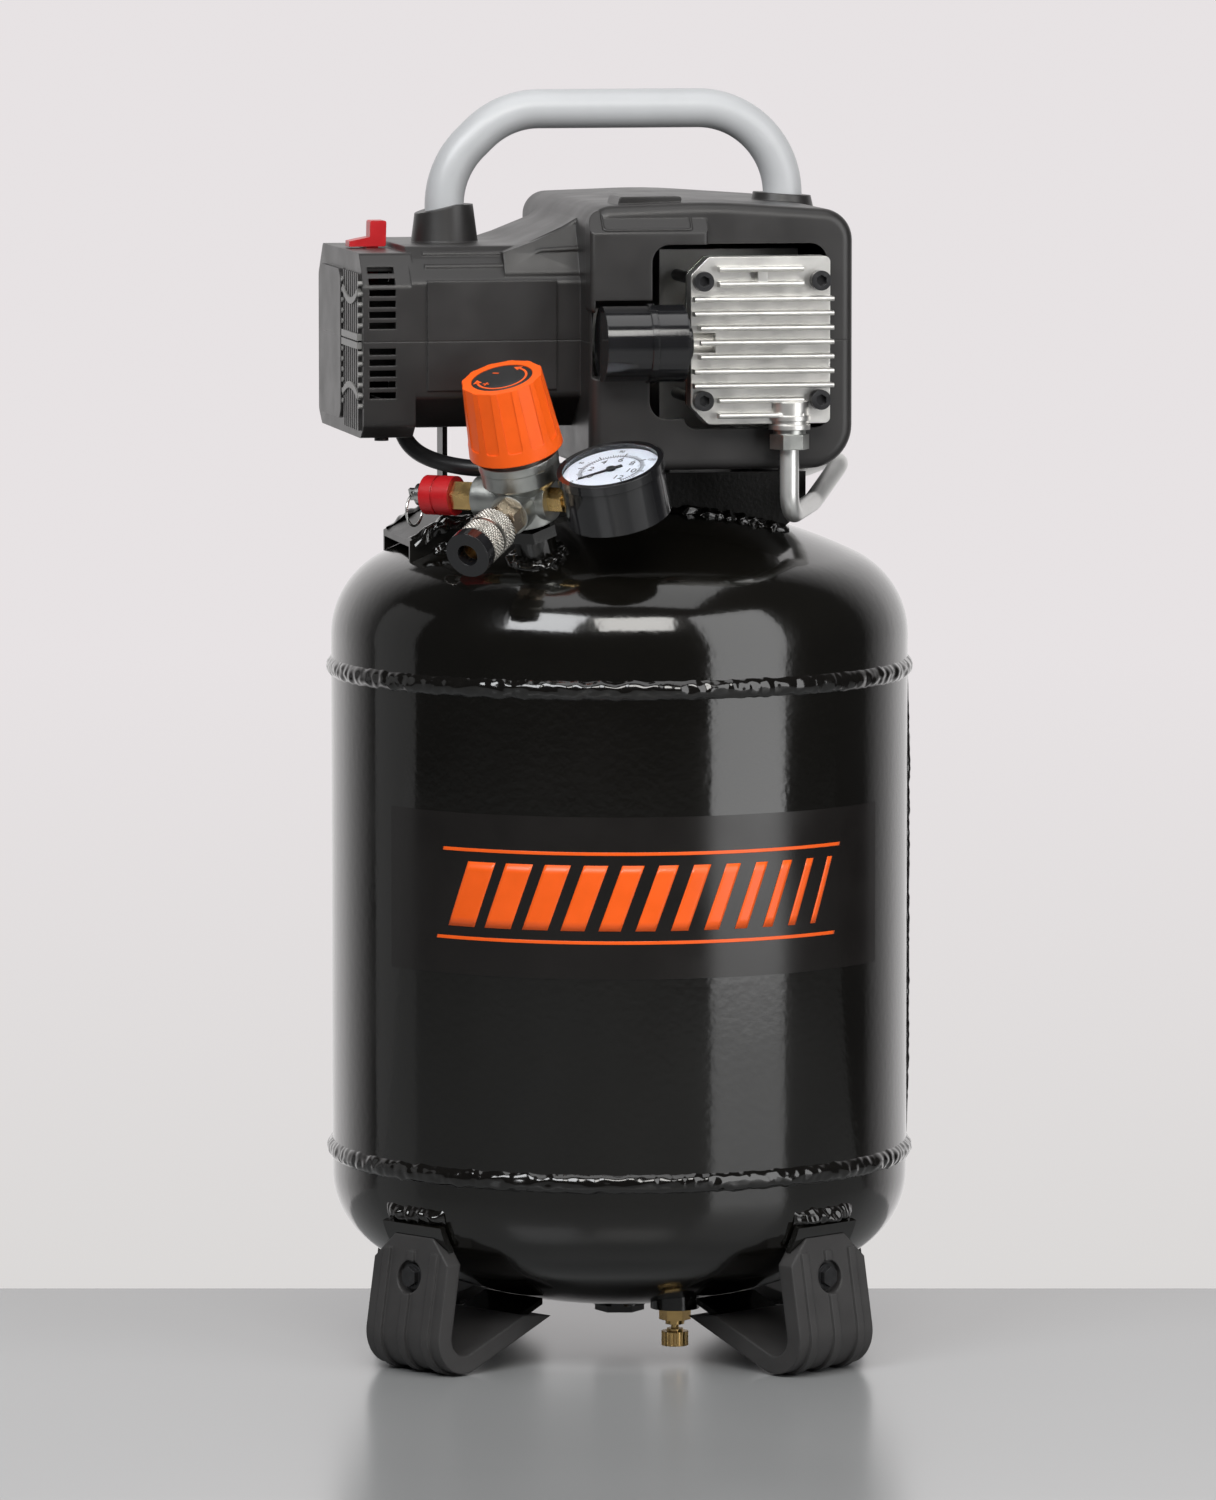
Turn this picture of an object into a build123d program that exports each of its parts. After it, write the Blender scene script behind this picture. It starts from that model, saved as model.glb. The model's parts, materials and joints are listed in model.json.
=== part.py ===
from build123d import *
import os
from math import atan2, cos, degrees, pi, radians, sin, sqrt

os.makedirs("parts", exist_ok=True)

# Vertical 24 litre oil-free air compressor, in millimetres.
# +Z is up, -Y is the labelled front, and the origin is on the floor under the tank's axis.

# ---------------------------------------------------------------- driving dimensions
TANK_R = 148.0
TANK_WALL = 2.0
LOWER_SEAM_Z = 102.5
UPPER_SEAM_Z = 351.0
UPPER_FLANGE = 16.0
LOWER_FLANGE = 11.5
KNUCKLE_R = 46.0
CROWN_R = 285.0
SEAM_HALF = 5.5
SEAM_RISE = 1.8
LABEL_Z0, LABEL_Z1 = 206.0, 287.6
LABEL_MIDDLE_DEG, LABEL_HALF_DEG = 5.0, 56.0
LABEL_T = 0.3

FOOT_AZIMUTHS = [45, 135, 225, 315]
FOOT_WIDTH = 53.0
FOOT_TOP_Z = 70.0
FOOT_TOP_R = 148.5
FOOT_LEAN_DEG = 9.7
FOOT_BEND_R = 20.0
FOOT_RISE_DEG = 22.0
FOOT_TIP_R = 76.0
RUBBER_T = 9.0
RIB_T, RIB_WIDTH, RIB_PITCH = 1.5, 5.0, 17.0
STRIP_T, STRIP_WIDTH = 3.0, 42.0
FOOT_BOLT_Z = 49.5

DRAIN_X, DRAIN_Y = 28.3, -60.0

PUMP_YAW_DEG = 11.0
SHAFT_Y, SHAFT_Z = 12.0, 523.0
BORE_X = 51.2
THROW = 10.0
BORE_R = 24.0
HEAD_FACE_Y = -108.0
BOLT_SQUARE = 60.0
COVER_T = 3.0
MOTOR_FRONT_Y = -70.0
PUMP_FRONT_Y = -95.0
SPLIT_Z = 522.0
TUBE_R, TUBE_WALL = 10.0, 2.0
HANDLE_LEFT_X, HANDLE_RIGHT_X = -91.0, 85.0
HANDLE_TOP_Z = 636.0
HANDLE_BEND_R = 44.0

REGULATOR_BASE = (-41.0, -99.9, 414.7)
REGULATOR_TILT_DEG = 22.0
REGULATOR_AZIMUTH_DEG = 28.5
PORT_S = 32.0
RUN_GAP = 0.06

PUMP = Location((0, 0, 0), (0, 0, PUMP_YAW_DEG))
tilt, turn = radians(REGULATOR_TILT_DEG), radians(REGULATOR_AZIMUTH_DEG)
COLUMN = Plane(
    origin=REGULATOR_BASE,
    x_dir=(cos(turn), -sin(turn), 0),
    z_dir=(-sin(tilt) * sin(turn), -sin(tilt) * cos(turn), cos(tilt)),
).location


# ---------------------------------------------------------------- small helpers
def block(x0, x1, y0, y1, z0, z1):
    """Box between two corners."""
    return Pos((x0 + x1) / 2, (y0 + y1) / 2, (z0 + z1) / 2) * Box(x1 - x0, y1 - y0, z1 - z0)


def rod(radius, start, end):
    """Cylinder from one point to another."""
    axis = Vector(*end) - Vector(*start)
    frame = Plane(origin=start, z_dir=axis).location
    return frame * Pos(0, 0, axis.length / 2) * Cylinder(radius, axis.length)


def tube(outer, inner, start, end):
    """Hollow cylinder from one point to another."""
    return rod(outer, start, end) - rod(inner, start, end)


def cone(r0, r1, z0, z1):
    """Upright cone or taper between two heights."""
    return Pos(0, 0, (z0 + z1) / 2) * Cone(r0, r1, z1 - z0)


def hexagon(across_flats, start, end):
    """Hexagonal bar from one point to another."""
    axis = Vector(*end) - Vector(*start)
    frame = Plane(origin=start, z_dir=axis)
    bar = extrude(RegularPolygon(across_flats / 2, 6, major_radius=False), axis.length)
    return frame.location * bar


def spot(place, x, y, z):
    """A point given in a placed frame, as a tuple in the row's frame."""
    return tuple((place * Pos(x, y, z)).position)


def along_x(outline, x0, x1):
    """Bar along X whose end outline is a sketch in (y, z)."""
    return Location((x0, 0, 0)) * extrude(Plane.YZ * outline, x1 - x0, dir=(1, 0, 0))


def along_y(outline, y0, y1):
    """Bar along Y whose end outline is a sketch in (x, z)."""
    return Location((0, y1, 0)) * extrude(Plane.XZ * outline, y1 - y0, dir=(0, -1, 0))


def rounded(points, radius):
    """Closed outline of straight lines with all its corners rounded."""
    face = make_face(Polyline(*points, close=True))
    return fillet(face.vertices(), radius)


def cornered(points, radii):
    """Closed outline of straight lines, with one radius for each corner."""
    return make_face(FilletPolyline(*points, radius=radii, close=True))


def pipe(points, radius, bend):
    """Round bar swept along straight runs joined by arcs; bend is one radius or one per corner."""
    path = FilletPolyline(*points, radius=bend)
    start = Plane(origin=path @ 0, z_dir=path % 0)
    return sweep(start * Circle(radius), path=path)


def group(*shapes):
    """Several separate solids kept as one sub-part."""
    return Compound(children=[s for shape in shapes for s in shape.solids()])


def save(name, shape, place=None):
    placed = shape if place is None else place * shape
    export_step(placed, f"parts/{name}.step")


# ---------------------------------------------------------------- tank
def dish(flange, inset=0.0):
    """Filled dished head standing on z = 0: flange, knuckle and crown, inset from the skin."""
    knuckle, crown = KNUCKLE_R - inset, CROWN_R - inset
    knuckle_x = TANK_R - KNUCKLE_R
    drop = sqrt((CROWN_R - KNUCKLE_R) ** 2 - knuckle_x**2)
    lift = atan2(drop, knuckle_x)
    meet = (knuckle_x + knuckle * cos(lift), flange + knuckle * sin(lift))
    half_knuckle = (knuckle_x + knuckle * cos(lift / 2), flange + knuckle * sin(lift / 2))
    half_crown_angle = (pi / 2 - lift) / 2
    half_crown = (crown * sin(half_crown_angle), flange - drop + crown * cos(half_crown_angle))
    apex = flange - drop + crown
    side = knuckle_x + knuckle
    outline = [
        Line((0, 0), (side, 0)),
        Line((side, 0), (side, flange)),
        ThreePointArc((side, flange), half_knuckle, meet),
        ThreePointArc(meet, half_crown, (0, apex)),
        Line((0, apex), (0, 0)),
    ]
    return revolve(Plane.XZ * make_face(Curve() + outline), Axis.Z)


def dome_z(r):
    """Height of the top head's outer skin at a radius on its crown."""
    drop = sqrt((CROWN_R - KNUCKLE_R) ** 2 - (TANK_R - KNUCKLE_R) ** 2)
    return UPPER_SEAM_Z + UPPER_FLANGE - drop + sqrt(CROWN_R**2 - r**2)


TOP = Pos(0, 0, UPPER_SEAM_Z)
BOTTOM = Pos(0, 0, LOWER_SEAM_Z) * Rot(180, 0, 0)
SKIN_GAP = 0.02
top_solid = TOP * dish(UPPER_FLANGE, -SKIN_GAP)
bottom_solid = BOTTOM * dish(LOWER_FLANGE, -SKIN_GAP)

NIPPLE_R = 10.5
CHECK_X, CHECK_Y = 84.0, 62.0
CHECK_R = 11.0
PORT_Z = 446.0
PLUG_R = 9.0
DRAIN_BOSS_R = 12.5
nipple_bore = COLUMN * rod(NIPPLE_R, (0, 0, -30), (0, 0, 20))
check_bore = rod(CHECK_R, (CHECK_X, CHECK_Y, 380), (CHECK_X, CHECK_Y, 450))
drain_bore = rod(DRAIN_BOSS_R, (DRAIN_X, DRAIN_Y, 0), (DRAIN_X, DRAIN_Y, 60))
plug_bore = rod(PLUG_R + 5, (0, 0, 0), (0, 0, 60))


def tank_shell():
    span = UPPER_SEAM_Z - LOWER_SEAM_Z
    middle = Pos(0, 0, (UPPER_SEAM_Z + LOWER_SEAM_Z) / 2)
    return middle * (Cylinder(TANK_R, span) - Cylinder(TANK_R - TANK_WALL, span))


def tank_top_head():
    skin = TOP * (dish(UPPER_FLANGE) - dish(UPPER_FLANGE, TANK_WALL))
    return skin - nipple_bore - PUMP * check_bore


def tank_bottom_head():
    skin = BOTTOM * (dish(LOWER_FLANGE) - dish(LOWER_FLANGE, TANK_WALL))
    return skin - drain_bore - plug_bore


def ring_weld(z):
    lens = make_face(
        Curve()
        + [
            ThreePointArc((TANK_R, z - SEAM_HALF), (TANK_R + SEAM_RISE, z), (TANK_R, z + SEAM_HALF)),
            Line((TANK_R, z + SEAM_HALF), (TANK_R, z - SEAM_HALF)),
        ]
    )
    return revolve(Plane.XZ * lens, Axis.Z)


def side_weld():
    """Weld up the side of the shell, between the two ring welds."""
    low, high = LOWER_SEAM_Z + SEAM_HALF + 0.3, UPPER_SEAM_Z - SEAM_HALF - 0.3
    bar = rod(3.6, (TANK_R - 2, 0, low), (TANK_R - 2, 0, high))
    return bar - Pos(0, 0, UPPER_SEAM_Z / 2) * Cylinder(TANK_R, UPPER_SEAM_Z * 1.2)


FOOT_WELD_Z, FOOT_WELD_SPAN_DEG = 79.0, 17.0


def foot_welds():
    """Bead over the top of each foot's strip, on the knuckle of the bottom head."""
    knuckle_x = TANK_R - KNUCKLE_R
    centre_z = LOWER_SEAM_Z - LOWER_FLANGE
    skin_r = knuckle_x + sqrt(KNUCKLE_R**2 - (centre_z - FOOT_WELD_Z) ** 2)
    bead = revolve(Plane.XZ * (Pos(skin_r, FOOT_WELD_Z) * Circle(5.0)), Axis.Z, FOOT_WELD_SPAN_DEG)
    one = Rot(0, 0, -FOOT_WELD_SPAN_DEG / 2) * bead - bottom_solid - foot_strip_solid()
    return [Rot(0, 0, a) * one for a in FOOT_AZIMUTHS]


# ---------------------------------------------------------------- feet
lean, rise = radians(FOOT_LEAN_DEG), radians(FOOT_RISE_DEG)
OUT_R, OUT_Z = cos(lean), sin(lean)
bend_z = FOOT_BEND_R - 0.3
fall = (FOOT_TOP_Z - FOOT_BEND_R * OUT_Z - bend_z) / cos(lean)
bend_r = FOOT_TOP_R + fall * sin(lean) - FOOT_BEND_R * OUT_R


def foot_curve(depth, top_z=FOOT_TOP_Z, tip_r=FOOT_TIP_R):
    """Side line of a foot, in (radius, height), a given depth inside its outermost surface."""
    radius = FOOT_BEND_R - depth
    start = (bend_r + radius * OUT_R, bend_z + radius * OUT_Z)
    along = (top_z - start[1]) / cos(lean)
    top = (start[0] - along * sin(lean), top_z)
    low = (bend_r, bend_z - radius)
    end = (bend_r - radius * sin(rise), bend_z - radius * cos(rise))
    run = (end[0] - tip_r) / cos(rise)
    tip = (tip_r, end[1] + run * sin(rise))
    return top, start, low, end, tip


def foot_band(depth0, depth1, width, top_z=FOOT_TOP_Z, tip_r0=FOOT_TIP_R, tip_r1=FOOT_TIP_R):
    """Bent strip between two depths, as wide as asked, at azimuth 0."""
    a, b = foot_curve(depth0, top_z, tip_r0), foot_curve(depth1, top_z, tip_r1)
    outline = [
        Line(a[0], a[1]),
        ThreePointArc(a[1], a[2], a[3]),
        Line(a[3], a[4]),
        Line(a[4], b[4]),
        Line(b[4], b[3]),
        ThreePointArc(b[3], b[2], b[1]),
        Line(b[1], b[0]),
        Line(b[0], a[0]),
    ]
    return along_y(make_face(Curve() + outline), -width / 2, width / 2)


STRIP_DEPTH = RIB_T + 5.0
STRIP_TOP_Z = 65.0
STRIP_FOOT_R = 76.5
HOOK_SLOPES = (0.32, 0.72)


def foot_strip_solid():
    """Bent steel strip that stands under the bottom head, at azimuth 0."""
    low = foot_band(
        STRIP_DEPTH, STRIP_DEPTH + STRIP_T, STRIP_WIDTH, STRIP_TOP_Z, STRIP_FOOT_R, STRIP_FOOT_R
    )
    centre = (TANK_R - KNUCKLE_R, LOWER_SEAM_Z - LOWER_FLANGE)
    ring = Circle(KNUCKLE_R + STRIP_T + 0.2) - Circle(KNUCKLE_R)
    wedge = make_face(Polyline((0, 0), (80, -80 * HOOK_SLOPES[0]), (80, -80 * HOOK_SLOPES[1]), close=True))
    hook = along_y(Pos(*centre) * (ring & wedge), -STRIP_WIDTH / 2, STRIP_WIDTH / 2)
    bolt = rod(3.0, (FOOT_TOP_R - 20, 0, FOOT_BOLT_Z), (FOOT_TOP_R, 0, FOOT_BOLT_Z))
    return low + hook - bottom_solid - bolt


def foot_rubber_solid(strip):
    """Rubber shoe over the strip, with three ribs and a round pocket for its bolt."""
    body = foot_band(RIB_T, RIB_T + RUBBER_T, FOOT_WIDTH, FOOT_TOP_Z, FOOT_TIP_R, FOOT_TIP_R + 19)
    corner = block(-20, 20, -9, 9, -9, 9)
    for side in (-1, 1):
        cut = Location((FOOT_TOP_R, side * FOOT_WIDTH / 2, FOOT_TOP_Z), (45, 0, 0)) * corner
        body = body - cut
    for k in (-1, 0, 1):
        rib = foot_band(0, RIB_T + 1, RIB_WIDTH, FOOT_TOP_Z - 7, FOOT_TIP_R + 40, FOOT_TIP_R + 40)
        body = body + Pos(0, k * RIB_PITCH, 0) * rib
    mouth = (FOOT_TOP_R + 20, 0, FOOT_BOLT_Z)
    body = body - rod(8.4, mouth, (FOOT_TOP_R - 1.5, 0, FOOT_BOLT_Z))
    body = body - rod(3.2, mouth, (120, 0, FOOT_BOLT_Z))
    clear = BOTTOM * Pos(0, 0, -30) * dish(LOWER_FLANGE + 30, -0.3)
    return body - strip - clear - block(0, 200, -60, 60, -5, 0)


def foot_bolt_solid():
    """Hex bolt with a flange, seated in the pocket and threaded through the strip."""
    seat = FOOT_TOP_R - 1.5
    flange = rod(6.6, (seat, 0, FOOT_BOLT_Z), (seat + 1.4, 0, FOOT_BOLT_Z))
    head = hexagon(9.0, (seat + 1.4, 0, FOOT_BOLT_Z), (seat + 4.2, 0, FOOT_BOLT_Z))
    shank = rod(3.0, (seat - 14, 0, FOOT_BOLT_Z), (seat, 0, FOOT_BOLT_Z))
    return flange + head + shank


# ---------------------------------------------------------------- bottom fittings
def drain_boss():
    """Welded socket for the drain valve; it reaches through the bottom head."""
    body = rod(DRAIN_BOSS_R, (DRAIN_X, DRAIN_Y, 26.5), (DRAIN_X, DRAIN_Y, 39))
    return body - rod(5.2, (DRAIN_X, DRAIN_Y, 20), (DRAIN_X, DRAIN_Y, 45))


def drain_body():
    """Brass drain valve body: thread, hexagon and open nose."""
    thread = rod(5.2, (DRAIN_X, DRAIN_Y, 26.5), (DRAIN_X, DRAIN_Y, 38))
    nut = hexagon(14.0, (DRAIN_X, DRAIN_Y, 20.5), (DRAIN_X, DRAIN_Y, 26.5))
    nose = rod(4.8, (DRAIN_X, DRAIN_Y, 18.2), (DRAIN_X, DRAIN_Y, 20.5))
    return thread + nut + nose - rod(2.0 + RUN_GAP, (DRAIN_X, DRAIN_Y, 15), (DRAIN_X, DRAIN_Y, 36))


def drain_stem():
    """Threaded valve stem that the knob drives up against its seat."""
    return rod(2.0, (DRAIN_X, DRAIN_Y, 9.5), (DRAIN_X, DRAIN_Y, 33))


def drain_knob():
    body = rod(6.9, (DRAIN_X, DRAIN_Y, 7.2), (DRAIN_X, DRAIN_Y, 14.5))
    collar = rod(4.2, (DRAIN_X, DRAIN_Y, 14.5), (DRAIN_X, DRAIN_Y, 15.9))
    knob = body + collar
    for k in range(18):
        a = 2 * pi * k / 18
        groove = (DRAIN_X + 7.2 * cos(a), DRAIN_Y + 7.2 * sin(a))
        knob = knob - rod(0.7, (*groove, 6), (*groove, 14.6))
    return knob - rod(2.0 + RUN_GAP, (DRAIN_X, DRAIN_Y, 9.3), (DRAIN_X, DRAIN_Y, 20))


def inspection_boss():
    return tube(PLUG_R + 5, PLUG_R, (0, 0, 19.5), (0, 0, 31))


def inspection_plug():
    return rod(PLUG_R, (0, 0, 19.5), (0, 0, 30)) + hexagon(22.0, (0, 0, 16.0), (0, 0, 19.5))


# ---------------------------------------------------------------- label
def front_label():
    band = make_face(
        Polyline(
            (TANK_R, LABEL_Z0), (TANK_R + LABEL_T, LABEL_Z0),
            (TANK_R + LABEL_T, LABEL_Z1), (TANK_R, LABEL_Z1), close=True,
        )
    )
    start = -90 + LABEL_MIDDLE_DEG - LABEL_HALF_DEG
    return Rot(0, 0, start) * revolve(Plane.XZ * band, Axis.Z, 2 * LABEL_HALF_DEG)


# ---------------------------------------------------------------- saddle under the pump
SADDLE_X0, SADDLE_X1 = -116.0, 89.0
BRIDGE_X0 = -28.0
SADDLE_Y = 40.0
SADDLE_TOP_Z = 452.0
TAB_TOP_Z, TAB_END_Z = 430.0, 419.0
TAB_X0, TAB_X1 = -96.0, -66.0
SADDLE_T = 3.0
MOUNT_SPOTS = [(12.0, -26.0), (12.0, 26.0), (72.0, -26.0), (72.0, 26.0)]
STRAP_X = -91.0
STRAP_HALF_WIDTH = 8.0


def saddle():
    """Bridge plate, low tab and the two webs that are cut to the dome and welded to it."""
    bridge = block(BRIDGE_X0, SADDLE_X1, -SADDLE_Y, SADDLE_Y, SADDLE_TOP_Z - SADDLE_T, SADDLE_TOP_Z)
    tab_line = [(TAB_X1, TAB_TOP_Z), (TAB_X0, TAB_TOP_Z), (SADDLE_X0, TAB_END_Z)]
    tab_under = [(x, z - SADDLE_T) for x, z in reversed(tab_line)]
    tab = along_y(make_face(Polyline(*tab_line, *tab_under, close=True)), -SADDLE_Y, SADDLE_Y)
    web = [
        *tab_line, (SADDLE_X0, 400), (SADDLE_X1 - 10, 400), (SADDLE_X1 - 10, 424.5), (SADDLE_X1, 433.5),
        (SADDLE_X1, SADDLE_TOP_Z), (BRIDGE_X0, SADDLE_TOP_Z), (BRIDGE_X0, TAB_TOP_Z + 6),
    ]
    sheet = make_face(Polyline(*web, close=True))
    front = along_y(sheet, -SADDLE_Y, -SADDLE_Y + SADDLE_T)
    back = along_y(sheet, SADDLE_Y - SADDLE_T, SADDLE_Y)
    plate = bridge + tab + front + back
    for x, y in MOUNT_SPOTS:
        plate = plate - rod(3.2, (x, y, 440), (x, y, 460))
    return plate - top_solid


def saddle_welds():
    """Beads along both webs, where they meet the dome."""
    beads = []
    for side in (-1, 1):
        y = side * (SADDLE_Y + 0.5)
        for x0, x1 in ((18, 78), (-104, -60)):
            z0, z1 = dome_z(sqrt(x0**2 + y**2)), dome_z(sqrt(x1**2 + y**2))
            beads.append(rod(4.6, (x0, y, z0), (x1, y, z1)) - saddle() - top_solid)
    return beads


def rubber_mounts():
    return [tube(9.0, 3.2, (x, y, SADDLE_TOP_Z), (x, y, 457.0)) for x, y in MOUNT_SPOTS]


def mount_bolts():
    """Bolts up through the saddle, the rubber mounts and the cover into the crankcase foot."""
    bolts = []
    for x, y in MOUNT_SPOTS:
        head = hexagon(10.0, (x, y, 445.0), (x, y, SADDLE_TOP_Z - SADDLE_T))
        bolts.append(head + rod(3.0, (x, y, SADDLE_TOP_Z - SADDLE_T), (x, y, 465.0)))
    return bolts


def motor_strap():
    """Narrow Z-bent strap from the saddle's tab up to the motor end of the covers."""
    half, thick = STRAP_HALF_WIDTH, 2.5
    post = block(STRAP_X - thick, STRAP_X, -half, half, TAB_TOP_Z + thick, MOTOR_LOW_Z - thick)
    low = block(STRAP_X - thick, STRAP_X + 16, -half, half, TAB_TOP_Z, TAB_TOP_Z + thick)
    high = block(STRAP_X - 16, STRAP_X, -half, half, MOTOR_LOW_Z - thick, MOTOR_LOW_Z)
    return post + low + high


# ---------------------------------------------------------------- covers
MOTOR_LEFT_X = -144.5
MOTOR_LOW_Z, MOTOR_TOP_Z = 477.0, 569.0
END_LOW_Z, END_TOP_Z = 473.0, 566.0
PUMP_LEFT_X, PUMP_RIGHT_X = -33.5, 102.0
PUMP_LOW_Z, PUMP_TOP_Z = 457.0, 590.0
PUMP_BACK_Y = 92.0
FRONT_EDGE_R = 6.0


def mirrored(half_line):
    """Closed outline in (y, z) from its left half, listed from the bottom up."""
    return half_line + [(-y, z) for y, z in reversed(half_line)]


def motor_outline(grow=0.0):
    """Outline of the motor part, with its stepped crown."""
    y = MOTOR_FRONT_Y
    half = [(y + 26, MOTOR_LOW_Z), (y, 494), (y, 552), (y + 12, 563), (y + 20, MOTOR_TOP_Z)]
    return offset(rounded(mirrored(half), 5.0), grow)


def motor_end_outline(grow=0.0):
    y = MOTOR_FRONT_Y
    half = [(y + 10, END_LOW_Z), (y, 480), (y, 550), (y + 14, END_TOP_Z)]
    return offset(rounded(mirrored(half), 4.5), grow)


def pump_outline(grow=0.0):
    """Outline of the pump part in (x, z), with a different radius at each corner."""
    points = [
        (PUMP_LEFT_X, PUMP_LOW_Z), (PUMP_RIGHT_X, PUMP_LOW_Z), (PUMP_RIGHT_X, PUMP_TOP_Z - 3),
        (30, PUMP_TOP_Z + 2), (PUMP_LEFT_X, PUMP_TOP_Z),
    ]
    return offset(cornered(points, [7.0, 22.0, 16.0, 300.0, 12.0]), grow)


def ramp_outline(grow=0.0):
    """Hollow shoulder that climbs from the motor part to the pump part, in (x, z)."""
    points = [(-72, 540), (-72, 566), (-56, 571.3), (-37, 579.2), (-25, 589), (1.7, 592), (1.7, 540)]
    return offset(make_face(Polyline(*points, close=True)), grow)


def ramp_section(grow=0.0):
    """Outline in (y, z) that the shoulder stays inside, so that its sides lean inwards."""
    return offset(rounded(mirrored([(-68, 540), (-68, 556), (-50, 593)]), 5.0), grow)


def cover_mass(grow=0.0, front_edge_r=0.0):
    """Filled outer form of the covers; a negative growth gives the room inside."""
    pump = along_y(pump_outline(grow), PUMP_FRONT_Y - grow, PUMP_BACK_Y + grow)
    if front_edge_r:
        pump = fillet(pump.edges().group_by(Axis.Y)[0], front_edge_r)
    motor = along_x(motor_outline(grow), -120.0 - grow, PUMP_LEFT_X + 12)
    end = along_x(motor_end_outline(grow), MOTOR_LEFT_X - grow, -118.0 + grow)
    ramp = along_y(ramp_outline(grow), -80, 80) & along_x(ramp_section(grow), -90, 10)
    return pump + motor + end + ramp


HEAD_WINDOW = (14.6, 88.2, 478.0, 568.0)
VENT_PITCH, VENT_H = 5.5, 3.2
VENT_ROWS = [(528.5, 6), (493.5, 5)]


def head_window():
    """Opening for the cylinder head, with its recessed margin to the left."""
    x0, x1, z0, z1 = HEAD_WINDOW
    through = along_y(rounded([(x0, z0), (x1, z0), (x1, z1), (x0, z1)], 6.0), PUMP_FRONT_Y - 12, -84)
    recess = rounded([(-3, 483), (x1, 483), (x1, 571), (-3, 571)], 9.0)
    return through + along_y(recess, PUMP_FRONT_Y - 12, PUMP_FRONT_Y + 4)


def vents():
    """Slots in the front and back of the motor end."""
    slots = []
    for z0, count in VENT_ROWS:
        for k in range(count):
            z = z0 + k * VENT_PITCH
            for side in (-1, 1):
                y0, y1 = sorted((side * 60, side * 80))
                slots.append(block(-141.5, -128.0, y0, y1, z, z + VENT_H))
    return slots


def filter_pocket():
    """Round trough in the cover's front that the intake filter lies in."""
    return rod(21.5, (-32, -105, 522.0), (14, -105, 522.0))


def front_block():
    """Raised block over the intake filter, with a sloped top and a rounded front edge."""
    back_y = PUMP_FRONT_Y + FRONT_EDGE_R + 1
    face_y = PUMP_FRONT_Y - 7
    side = [(back_y, 537), (face_y, 537), (face_y, 577), (face_y + 11, 588), (back_y, 588)]
    body = along_x(make_face(Polyline(*side, close=True)), PUMP_LEFT_X - 1, 26)
    front = cornered([(PUMP_LEFT_X - 1, 537), (26, 537), (26, 588), (PUMP_LEFT_X - 1, 588)], [3, 3, 5, 7])
    body = body & along_y(front, face_y, back_y)
    return fillet(body.edges().group_by(Axis.Y)[0], 2.5)


def cover_trim():
    """Raised forms on the outside of the covers."""
    panel = along_x(rounded([(-71.2, 497), (-71.2, 552.5), (-60, 552.5), (-60, 497)], 0.6), -112, -46)
    top_panel = along_y(rounded([(-18, 588), (14, 588), (16, 594.5), (-16, 594.5)], 1.5), -84, -56)
    return [front_block(), panel, top_panel]


def end_bulge():
    """Smooth swelling and the upright ribs on the motor's end wall."""
    bulge = along_x(rounded([(-14, 480), (-14, 556), (54, 556), (54, 480)], 8.0), -147.0, MOTOR_LEFT_X + 1)
    ribs = [block(-146.0, MOTOR_LEFT_X + 1, y, y + 3.4, 477, 556) for y in range(-62, -18, 6)]
    return [bulge, *ribs]


def collar(x, top_z, low_z, slope):
    """Socket that a leg of the handle stands in, with a slanted rim."""
    body = Pos(x, 0, 0) * cone(17.5, 14.6, low_z, top_z)
    lip = Location((x, 0, top_z - 1), (0, slope, 0)) * Pos(0, 0, 15) * Box(60, 60, 30)
    return body - lip


def ridges():
    """Two raised lines along the top front edge of the motor part that climb the shoulder."""
    outer = [(-112, -62, 558.8), (-64, -62, 558.8), (-54, -62, 566.5), (-32, -62, 567.5)]
    inner = [(-112, -55, 564.8), (-66, -55, 564.8), (-56, -55, 569.8), (-40, -55, 577.0), (-32, -55, 581.5)]
    return [pipe(outer, 1.6, 8.0), pipe(inner, 1.6, 8.0)]


def covers():
    """Upper and lower cover, split at one level and hollow inside."""
    shell = cover_mass(front_edge_r=FRONT_EDGE_R)
    for extra in cover_trim() + end_bulge() + ridges():
        shell = shell + extra
    shell = shell + collar(HANDLE_LEFT_X, 588.0, 566.0, -14) + collar(HANDLE_RIGHT_X - 0.5, 593.0, 580.0, 4)
    throat = block(-124, -110, -58, 58, 488, 556)
    shell = shell - cover_mass(-COVER_T) - throat
    shell = shell - head_window() - filter_pocket()
    for slot in vents():
        shell = shell - slot
    for x in (HANDLE_LEFT_X, HANDLE_RIGHT_X):
        shell = shell - rod(TUBE_R, (x, 0, 555), (x, 0, 620))
    for screw in handle_screws():
        shell = shell - screw
    for x, y in MOUNT_SPOTS:
        shell = shell - rod(3.2, (x, y, 450), (x, y, 470))
    shell = shell - SWITCH_HOLE - GLAND_HOLE - HOSE_HOLE
    upper = shell & block(-200, 200, -200, 200, SPLIT_Z, 700)
    lower = shell & block(-200, 200, -200, 200, 400, SPLIT_Z)
    return upper, lower


SWITCH_X = -129.0
SWITCH_HOLE = block(SWITCH_X - 5, SWITCH_X + 5, -7, 7, 550, 575)
GLAND_SPOT = (-100.0, 76.0, 505.0)
GLAND_HOLE = rod(8.0, (GLAND_SPOT[0], 60, GLAND_SPOT[2]), (GLAND_SPOT[0], 90, GLAND_SPOT[2]))
HOSE_TOP = (-120.0, -26.0, 476.0)
HOSE_HOLE = rod(8.5, (HOSE_TOP[0], HOSE_TOP[1], 460), (HOSE_TOP[0], HOSE_TOP[1], 490))


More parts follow.
